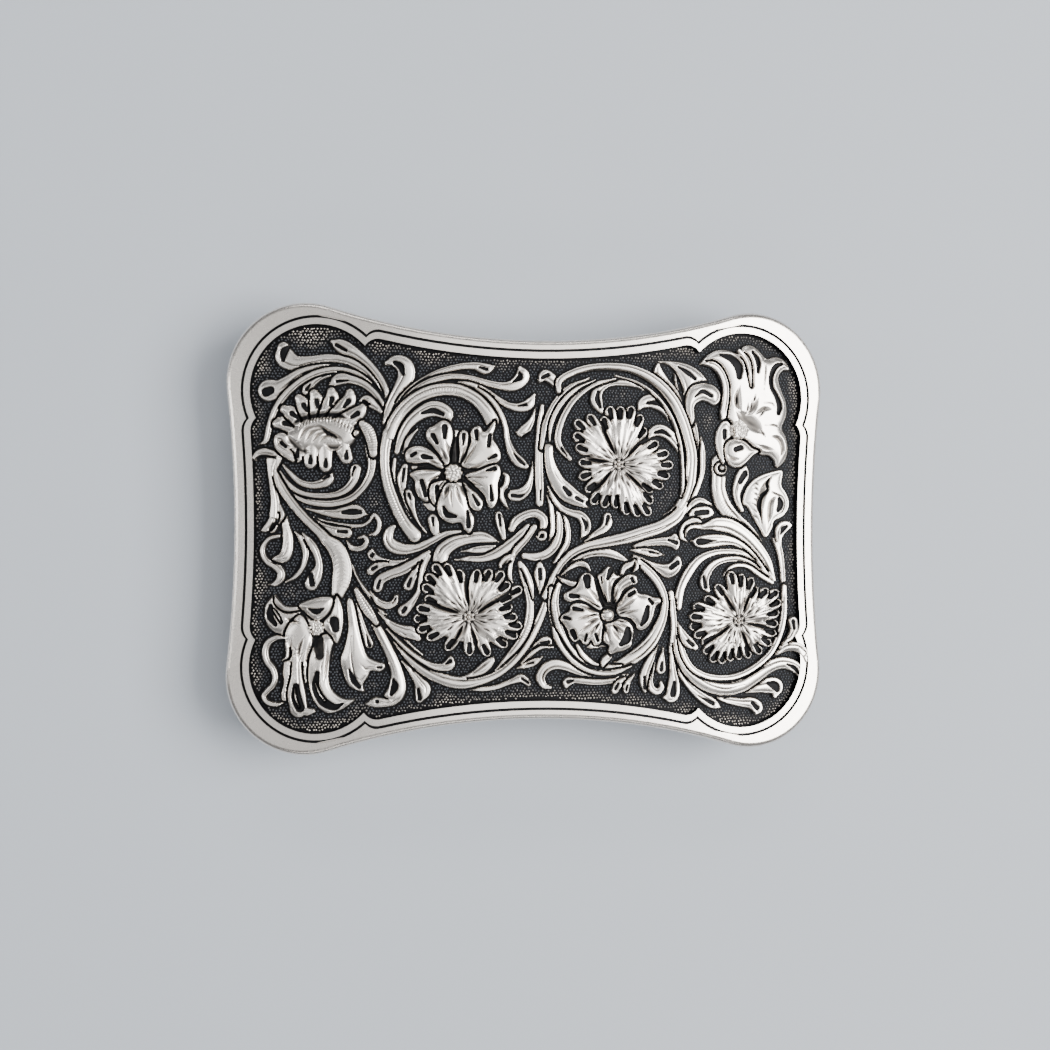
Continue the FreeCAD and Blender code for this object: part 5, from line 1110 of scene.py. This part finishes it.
# black in the hollows together with painted shade beside edges and over low places
oxide_and_shade = smooth(0.33 + 1.7 * lowness + 0.4 * wide_lowness)
oxide_and_shade = np.maximum(oxide_and_shade, stain_and_shade)
openness = local_mean((owner == 0).astype(float), 1.3)
print("mean black on the relief", round(float(oxide_and_shade[owner > 0].mean()), 2))

# %% [markdown]
# Each piece of relief becomes a closed mesh: a top of grid squares, the same squares turned over
# just inside the plate, and a wall round the border between them. The corners outside a piece are
# sunk below the field, so its edge meets the ground cleanly.
# %% Cutting the pieces from the wax
SUNK = -0.05
UNDERSIDE = -0.3


def relief_mesh(number, name):
    """A closed mesh of all grid squares whose highest owner is this piece."""
    corners = np.stack([owner[:-1, :-1], owner[:-1, 1:], owner[1:, 1:], owner[1:, :-1]])
    rows, columns = np.nonzero(corners.max(axis=0) == number)
    width = owner.shape[1]
    first = rows * width + columns
    squares = np.stack([first, first + 1, first + width + 1, first + width], axis=1)
    used, faces = np.unique(squares, return_inverse=True)
    faces = faces.reshape(squares.shape)
    row, column = used // width, used % width
    tall = np.where(owner[row, column] > 0, height[row, column], SUNK)
    top = bent(grid_x[column], grid_y[row], tall)
    bottom = bent(grid_x[column], grid_y[row], np.full(tall.shape, UNDERSIDE))
    edges = np.concatenate([faces[:, [i, (i + 1) % 4]] for i in range(4)])
    key = edges[:, 0].astype(np.int64) * len(used) + edges[:, 1]
    twin = edges[:, 1].astype(np.int64) * len(used) + edges[:, 0]
    rim = edges[~np.isin(key, twin)]
    walls = np.stack([rim[:, 1], rim[:, 0], rim[:, 0] + len(used), rim[:, 1] + len(used)], axis=1)
    all_faces = np.concatenate([faces, faces[:, ::-1] + len(used), walls])
    mesh = bpy.data.meshes.new(name)
    mesh.vertices.add(2 * len(used))
    mesh.vertices.foreach_set("co", np.concatenate([top, bottom]).ravel())
    mesh.loops.add(all_faces.size)
    mesh.loops.foreach_set("vertex_index", all_faces.ravel())
    mesh.polygons.add(len(all_faces))
    mesh.polygons.foreach_set("loop_start", np.arange(0, all_faces.size, 4))
    mesh.update(calc_edges=True)
    mesh.validate()
    mesh.polygons.foreach_set("use_smooth", np.ones(len(mesh.polygons), dtype=bool))
    black = mesh.attributes.new("oxide_and_shade", "FLOAT", "POINT")
    shade = np.where(owner[row, column] > 0, oxide_and_shade[row, column], 1.0)
    black.data.foreach_set("value", np.concatenate([shade, np.ones(len(used))]).astype(np.float32))
    piece = bpy.data.objects.new(name, mesh)
    bpy.context.collection.objects.link(piece)
    return piece


relief_pieces = [relief_mesh(number, name) for number, name in enumerate(plants[1:], start=1)]
largest = max(2 * len(piece.data.polygons) for piece in relief_pieces)
print(len(relief_pieces), "pieces, largest", largest, "triangles")

# %% [markdown]
# Between the strands the field is matted: the engraver sets a pebble punch thousands of times, row
# by row. A pebble shows only where a plumb line meets the bare sunk field, so the CAD plate itself
# says where the field ends.
# %% Where the pebbles go
from mathutils import Vector
from mathutils.bvhtree import BVHTree

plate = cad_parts["face_plate"]
plate_tree = BVHTree.FromPolygons([v.co for v in plate.data.vertices],
                                  [p.vertices for p in plate.data.polygons])
PEBBLE_PITCH = 0.47
ROW_STEP = 0.866  # rows stand closer than the pitch, as in a honeycomb
SHAKE = 0.09  # how far a hand strays from its row
FOOT = 0.3  # all four sides of a pebble's foot have to stand on the field


def field_depth(x, y):
    """How far the plate's surface lies under the bent face at a place, in mm."""
    hit = plate_tree.ray_cast(Vector((x * MM, y * MM, 0.05)), Vector((0, 0, -1)))[0]
    if hit is None:
        return 99.0
    return FACE_RADIUS - math.hypot(x, hit.z / MM - BEND_AXIS)


shake = np.random.default_rng(7)
spots, spot_black = [], []
for row_index, y in enumerate(np.arange(-31.0, 31.0, PEBBLE_PITCH * ROW_STEP)):
    for x in np.arange(-43.0, 43.0, PEBBLE_PITCH) + (row_index % 2) * PEBBLE_PITCH / 2:
        px, py = x + shake.uniform(-SHAKE, SHAKE), y + shake.uniform(-SHAKE, SHAKE)
        column = int(round((px + HALF_WIDTH) / PITCH))
        row = int(round((py + HALF_HEIGHT) / PITCH))
        if not (2 <= row < height.shape[0] - 2 and 2 <= column < height.shape[1] - 2):
            continue
        if owner[row - 1:row + 2, column - 1:column + 2].any():
            continue
        if all(abs(field_depth(px + dx, py + dy) - FIELD_DEPTH) < 0.1
               for dx, dy in ((FOOT, 0), (-FOOT, 0), (0, FOOT), (0, -FOOT))):
            spots.append((px, py))
            opening = openness[row, column] ** 5 + shake.uniform(-0.15, 0.15)
            spot_black.append(float(np.clip(0.9 - 0.5 * opening, 0.2, 1.0)))
print(len(spots), "pebbles")

# %% [markdown]
# Thousands of equal things on points are a job for Geometry Nodes: the tree instances one small
# pebble on every point, with its own turn and size, and turns them all into one mesh at the end.
# %% Pebbles by Geometry Nodes
spot_places = bent(np.array([p[0] for p in spots]), np.array([p[1] for p in spots]), 0.03)
pebble_mesh = bpy.data.meshes.new("pebble_ground")
pebble_mesh.from_pydata([tuple(p) for p in spot_places], [], [])
black = pebble_mesh.attributes.new("oxide_and_shade", "FLOAT", "POINT")
black.data.foreach_set("value", np.array(spot_black, dtype=np.float32))
pebbles = bpy.data.objects.new("pebble_ground", pebble_mesh)
bpy.context.collection.objects.link(pebbles)


def pebble_tree(material):
    """A node tree that sets one squashed pebble on each point."""
    tree = bpy.data.node_groups.new("pebble_punch", "GeometryNodeTree")
    socket = {}
    tree.interface.new_socket("Geometry", in_out="INPUT", socket_type="NodeSocketGeometry")
    for title, value in (("Pebble radius", 0.2 * MM), ("Pebble flatness", 0.9), ("Least size", 0.8)):
        item = tree.interface.new_socket(title, in_out="INPUT", socket_type="NodeSocketFloat")
        socket[title] = (item.identifier, value)
    tree.interface.new_socket("Geometry", in_out="OUTPUT", socket_type="NodeSocketGeometry")
    enter, leave = tree.nodes.new("NodeGroupInput"), tree.nodes.new("NodeGroupOutput")
    pebble = tree.nodes.new("GeometryNodeMeshIcoSphere")
    pebble.inputs["Subdivisions"].default_value = 1
    squash = tree.nodes.new("GeometryNodeTransform")
    shape = tree.nodes.new("ShaderNodeCombineXYZ")
    shape.inputs["X"].default_value = 1.0
    shape.inputs["Y"].default_value = 1.0
    spread = tree.nodes.new("GeometryNodeInstanceOnPoints")
    turn = tree.nodes.new("FunctionNodeRandomValue")
    turn.data_type = "FLOAT_VECTOR"
    turn.inputs["Min"].default_value = (-0.25, -0.25, 0.0)
    turn.inputs["Max"].default_value = (0.25, 0.25, 6.28)
    turn.inputs["Seed"].default_value = 3
    size = tree.nodes.new("FunctionNodeRandomValue")
    size.data_type = "FLOAT"
    size.inputs["Seed"].default_value = 5
    realize = tree.nodes.new("GeometryNodeRealizeInstances")
    smooth_shade = tree.nodes.new("GeometryNodeSetShadeSmooth")
    finish = tree.nodes.new("GeometryNodeSetMaterial")
    finish.inputs["Material"].default_value = material
    link = tree.links.new
    link(enter.outputs["Pebble radius"], pebble.inputs["Radius"])
    link(enter.outputs["Pebble flatness"], shape.inputs["Z"])
    link(pebble.outputs["Mesh"], squash.inputs["Geometry"])
    link(shape.outputs["Vector"], squash.inputs["Scale"])
    link(enter.outputs["Geometry"], spread.inputs["Points"])
    link(squash.outputs["Geometry"], spread.inputs["Instance"])
    link(turn.outputs["Value"], spread.inputs["Rotation"])
    link(enter.outputs["Least size"], size.inputs[2])
    link(size.outputs[1], spread.inputs["Scale"])
    link(spread.outputs["Instances"], realize.inputs["Geometry"])
    link(realize.outputs["Geometry"], smooth_shade.inputs["Geometry"])
    link(smooth_shade.outputs["Geometry"], finish.inputs["Geometry"])
    link(finish.outputs["Geometry"], leave.inputs["Geometry"])
    return tree, socket


def as_plain_mesh(piece):
    """Swaps a piece's live modifiers for the mesh they give."""
    settled = bpy.data.meshes.new_from_object(piece.evaluated_get(bpy.context.evaluated_depsgraph_get()))
    piece.modifiers.clear()
    piece.data = settled


# %% [markdown]
# Polished silver and its black are one material: the attribute painted above, which holds the black
# and the painted shade, mixes a bright metal with a dull, dark one. A faint noise varies the polish,
# as a hand at a wheel does, and a finer one gives the surface its small casting marks.
# %% Silver finishes
SILVER = (0.81, 0.76, 0.705, 1.0)
SILVER_SHADE = (0.58, 0.53, 0.48, 1.0)
BLACKENED = (0.005, 0.005, 0.006, 1.0)


class Finish:
    """A material with short calls for its nodes."""

    def __init__(self, name):
        self.material = bpy.data.materials.new(name)
        self.material.use_nodes = True
        self.nodes = self.material.node_tree.nodes
        self.join = self.material.node_tree.links.new
        self.shader = self.nodes["Principled BSDF"]
        self.place = self.nodes.new("ShaderNodeTexCoord").outputs["Object"]

    def math(self, operation, a, b=0.0, clamp=False):
        """A Math node; each value is a number or a socket."""
        node = self.nodes.new("ShaderNodeMath")
        node.operation = operation
        node.use_clamp = clamp
        for socket, value in zip(node.inputs, (a, b)):
            self.put(socket, value)
        return node.outputs[0]

    def put(self, socket, value):
        """Sets a socket to a number or links it."""
        if isinstance(value, bpy.types.NodeSocket):
            self.join(value, socket)
        else:
            socket.default_value = value

    def ramp(self, value, low, high, start=0.0, end=1.0):
        """Maps low..high to start..end with an easy slope."""
        node = self.nodes.new("ShaderNodeMapRange")
        node.interpolation_type = "SMOOTHSTEP"
        titles = ("Value", "From Min", "From Max", "To Min", "To Max")
        for title, number in zip(titles, (value, low, high, start, end)):
            self.put(node.inputs[title], number)
        return node.outputs["Result"]

    def noise(self, per_metre, detail=4.0, stretch=None):
        """Noise with this many features to the metre, stretched along an axis if asked."""
        node = self.nodes.new("ShaderNodeTexNoise")
        node.inputs["Scale"].default_value = per_metre
        node.inputs["Detail"].default_value = detail
        place = self.place
        if stretch:
            mapping = self.nodes.new("ShaderNodeMapping")
            mapping.inputs["Scale"].default_value = stretch
            self.join(place, mapping.inputs["Vector"])
            place = mapping.outputs["Vector"]
        self.join(place, node.inputs["Vector"])
        return node.outputs["Fac"]

    def blend(self, amount, first, second):
        """A colour between two, by amount."""
        node = self.nodes.new("ShaderNodeMix")
        node.data_type = "RGBA"
        self.put(node.inputs["Factor"], amount)
        self.put(node.inputs["A"], first)
        self.put(node.inputs["B"], second)
        return node.outputs["Result"]

    def bump(self, value, strength, distance):
        """Small unevenness in the surface."""
        node = self.nodes.new("ShaderNodeBump")
        node.inputs["Strength"].default_value = strength
        node.inputs["Distance"].default_value = distance
        self.join(value, node.inputs["Height"])
        self.join(node.outputs["Normal"], self.shader.inputs["Normal"])


def silver(name, black, shine, grain, grain_strength, blackened=BLACKENED):
    """Silver with black where `black` is 1; on the relief and pebbles that amount also holds painted shade. shine
    is the roughness of the polished parts.
    """
    finish = Finish(name)
    stored = black(finish)
    wander = finish.math("MULTIPLY", finish.math("SUBTRACT", finish.noise(900.0), 0.5), 0.12)
    amount = finish.math("ADD", stored, wander, clamp=True)
    bright = finish.blend(finish.ramp(amount, 0.1, 0.6), SILVER, SILVER_SHADE)
    colour = finish.blend(finish.ramp(amount, 0.32, 0.85), bright, blackened)
    finish.put(finish.shader.inputs["Base Color"], colour)
    finish.put(finish.shader.inputs["Metallic"], finish.ramp(amount, 0.5, 1.0, 1.0, 0.45))
    finish.shader.inputs["Specular IOR Level"].default_value = 0.2
    rough = finish.math("ADD", finish.ramp(amount, 0.2, 0.9, shine, 0.55), wander)
    finish.put(finish.shader.inputs["Roughness"], rough)
    finish.bump(finish.noise(grain, 3.0), grain_strength, 0.05 * MM)
    return finish.material


def stored_black_and_shade(finish):
    """The black that the buffing left, with painted shade in low places, as stored on the mesh."""
    node = finish.nodes.new("ShaderNodeAttribute")
    node.attribute_name = "oxide_and_shade"
    return node.outputs["Fac"]


PEBBLE_BLACK = (0.06, 0.065, 0.075, 1.0)
relief_silver = silver("relief_silver", stored_black_and_shade, 0.27, 2600.0, 0.06)
pebble_silver = silver("pebble_silver", stored_black_and_shade, 0.22, 4000.0, 0.04, PEBBLE_BLACK)
tree, settings = pebble_tree(pebble_silver)
punch = pebbles.modifiers.new("pebble_punch", "NODES")
punch.node_group = tree
for identifier, value in settings.values():
    punch[identifier] = value
as_plain_mesh(pebbles)
for piece in relief_pieces:
    piece.data.materials.append(relief_silver)
print("pebble ground has", sum(len(p.vertices) - 2 for p in pebbles.data.polygons), "triangles")

# %% [markdown]
# The plate is the same silver. Its black follows the depth under the face: none on the border,
# full in the groove and the field. Only the front is blackened, so the outer wall and the back are
# kept clean by a mask that ends between the groove and the plate's edge.
# %% Plate finish
LOBE_X, LOBE_Y, MASK_RADIUS = 31.95 * MM, 20.2 * MM, 11.5 * MM
WAIST, WAIST_CURVE = 27.5 * MM, 3.6  # half height at the middle, and its growth with x squared


def sunk_black(finish):
    """Black in the groove and the field, from the depth under the bent face."""
    split = finish.nodes.new("ShaderNodeSeparateXYZ")
    finish.join(finish.place, split.inputs[0])
    x, y, z = (split.outputs[axis] for axis in "XYZ")
    lift = finish.math("SUBTRACT", z, BEND_AXIS * MM)
    squares = finish.math("ADD", finish.math("MULTIPLY", x, x), finish.math("MULTIPLY", lift, lift))
    depth = finish.math("SUBTRACT", FACE_RADIUS * MM, finish.math("SQRT", squares))
    sunk = finish.ramp(depth, 0.06 * MM, 0.3 * MM)
    front = finish.ramp(depth, 1.05 * MM, 1.1 * MM, 1.0, 0.0)
    wide, tall = finish.math("ABSOLUTE", x), finish.math("ABSOLUTE", y)
    corner_x = finish.math("MAXIMUM", finish.math("SUBTRACT", wide, LOBE_X), 0.0)
    corner_y = finish.math("MAXIMUM", finish.math("SUBTRACT", tall, LOBE_Y), 0.0)
    corner = finish.math("SQRT", finish.math("ADD", finish.math("MULTIPLY", corner_x, corner_x),
                                             finish.math("MULTIPLY", corner_y, corner_y)))
    in_corner = finish.math("LESS_THAN", corner, MASK_RADIUS)
    growth = finish.math("MULTIPLY", finish.math("MULTIPLY", x, x), WAIST_CURVE)
    waist = finish.math("ADD", WAIST, growth)
    in_waist = finish.math("LESS_THAN", tall, waist)
    inside = finish.math("MULTIPLY", in_corner, in_waist)
    return finish.math("MULTIPLY", finish.math("MULTIPLY", sunk, front), inside)


plate_finish = silver("plate_silver_face", sunk_black, 0.27, 1500.0, 0.06)


def wear(node_name, material):
    """Gives a CAD piece its finish."""
    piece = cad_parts[node_name]
    if not piece.material_slots:
        raise SystemExit(f"{node_name} has no material slot")
    for slot in piece.material_slots:
        slot.material = material


wear("face_plate", plate_finish)
print("plate finish on", len(plate.material_slots), "slot")

# %% [markdown]
# The hardware is plain steel with a bright nickel plate. Bent sheet keeps fine rolling lines, drawn
# wire keeps lines along its length, and turned parts have none, so each kind gets its own grain.
# %% Steel finishes
def steel(name, colour, shine, stretch):
    """Nickel-plated steel with rolling or drawing lines along one axis."""
    finish = Finish(name)
    cloud = finish.noise(160.0, 3.0)
    grime = finish.ramp(cloud, 0.52, 0.8)
    dark = tuple(channel * 0.55 for channel in colour[:3]) + (1.0,)
    finish.put(finish.shader.inputs["Base Color"], finish.blend(grime, colour, dark))
    finish.shader.inputs["Metallic"].default_value = 1.0
    lines = finish.noise(700.0, 5.0, stretch)
    worn = finish.ramp(cloud, 0.3, 0.8, shine, shine + 0.14)
    rough = finish.math("ADD", finish.math("MULTIPLY", lines, 0.16), worn)
    finish.put(finish.shader.inputs["Roughness"], rough)
    finish.bump(lines, 0.1, 0.03 * MM)
    return finish.material


NICKEL = (0.66, 0.64, 0.6, 1.0)
wear("hinge_saddle", steel("rolled_nickel", NICKEL, 0.26, (1.0, 9.0, 1.0)))
wear("bail_frame", steel("drawn_nickel", NICKEL, 0.2, (6.0, 1.0, 6.0)))
turned = steel("turned_nickel", (0.7, 0.68, 0.64, 1.0), 0.18, (1.0, 1.0, 1.0))
for node_name in ("hinge_pin", "saddle_screw_upper", "saddle_screw_lower", "hook_washer", "hook_post"):
    wear(node_name, turned)
print("steel on", len(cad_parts) - 1, "pieces")

# %% [markdown]
# The relief and the pebbles are cast with the plate, so they ride on its body.
# %% What rides on the plate
for piece in relief_pieces + [pebbles]:
    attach(piece, "plate")
print("riding:", len(relief_pieces) + 1)

# %% [markdown]
# Polished metal shows what stands round it more than its own colour, so the lights matter as much
# as the finish. One big soft box stands high on the right. Two panels, overhead and on the left,
# and three narrow boxes round the sides are weaker. The world is a dull grey, which is what the
# darker sides of each strand mirror.
# %% Floor and lights
bpy.ops.mesh.primitive_plane_add(size=6.0, location=(0, 0, 0))
floor = bpy.context.object
floor.name = "floor"
paper = Finish("pale_paper")
mottle = paper.blend(paper.noise(30.0), (0.46, 0.495, 0.545, 1), (0.475, 0.51, 0.56, 1))
paper.put(paper.shader.inputs["Base Color"], mottle)
paper.shader.inputs["Roughness"].default_value = 0.9
floor.data.materials.append(paper.material)

world = bpy.data.worlds.new("studio")
bpy.context.scene.world = world
world.use_nodes = True
world.node_tree.nodes["Background"].inputs["Color"].default_value = (0.95, 0.97, 1.0, 1)
world.node_tree.nodes["Background"].inputs["Strength"].default_value = 0.2


def soft_box(name, azimuth, elevation, distance, width, tall, radiance, colour=(1, 1, 1)):
    """An area light aimed at the buckle; its brightness is the radiance of its face."""
    light = bpy.data.lights.new(name, "AREA")
    light.shape = "RECTANGLE"
    light.size, light.size_y = width, tall
    light.energy = radiance * math.pi * width * tall
    light.color = colour
    lamp = bpy.data.objects.new(name, light)
    turn, rise = math.radians(azimuth), math.radians(elevation)
    away = Vector((math.cos(rise) * math.cos(turn), math.cos(rise) * math.sin(turn), math.sin(rise)))
    lamp.location = away * distance
    lamp.rotation_euler = away.to_track_quat("Z", "Y").to_euler()
    bpy.context.collection.objects.link(lamp)


soft_box("right_box", 4, 47, 0.9, 0.62, 0.5, 14.0, (1.0, 0.99, 0.97))
soft_box("overhead_panel", 0, 77, 0.9, 0.9, 0.7, 2.1)
soft_box("left_panel", 180, 61, 0.9, 0.9, 0.5, 0.62)
soft_box("left_box", 176, 30, 0.9, 0.14, 0.7, 5.0)
soft_box("far_box", 95, 34, 0.9, 0.7, 0.16, 4.2)
soft_box("near_box", -92, 34, 0.9, 0.7, 0.14, 3.0)
print("six soft boxes")

# %% [markdown]
# The camera looks down from a little left of the middle, tilted by under seven degrees.
# %% Camera
from mathutils import Matrix

TILT = 0.1156  # radians
ROLL = 0.0033  # radians
LENS = 42.22  # mm on a 36 mm wide sensor
DISTANCE = 0.18  # metres
aim = Vector((-0.001554, 0.000681, CROWN * MM))
sight = Vector((math.sin(TILT), 0, -math.cos(TILT)))
level = Vector((math.cos(TILT), 0, math.sin(TILT)))
across = level * math.cos(ROLL) + Vector((0, 1, 0)) * math.sin(ROLL)
lens = bpy.data.cameras.new("camera")
lens.lens = LENS
lens.sensor_width = 36.0
lens.clip_start = 0.005
camera = bpy.data.objects.new("camera", lens)
camera.location = aim - sight * DISTANCE
upward = (-sight).cross(across)
camera.rotation_euler = Matrix((across, upward, -sight)).transposed().to_euler()
bpy.context.collection.objects.link(camera)
bpy.context.scene.camera = camera
print("camera", [round(c, 4) for c in camera.location])
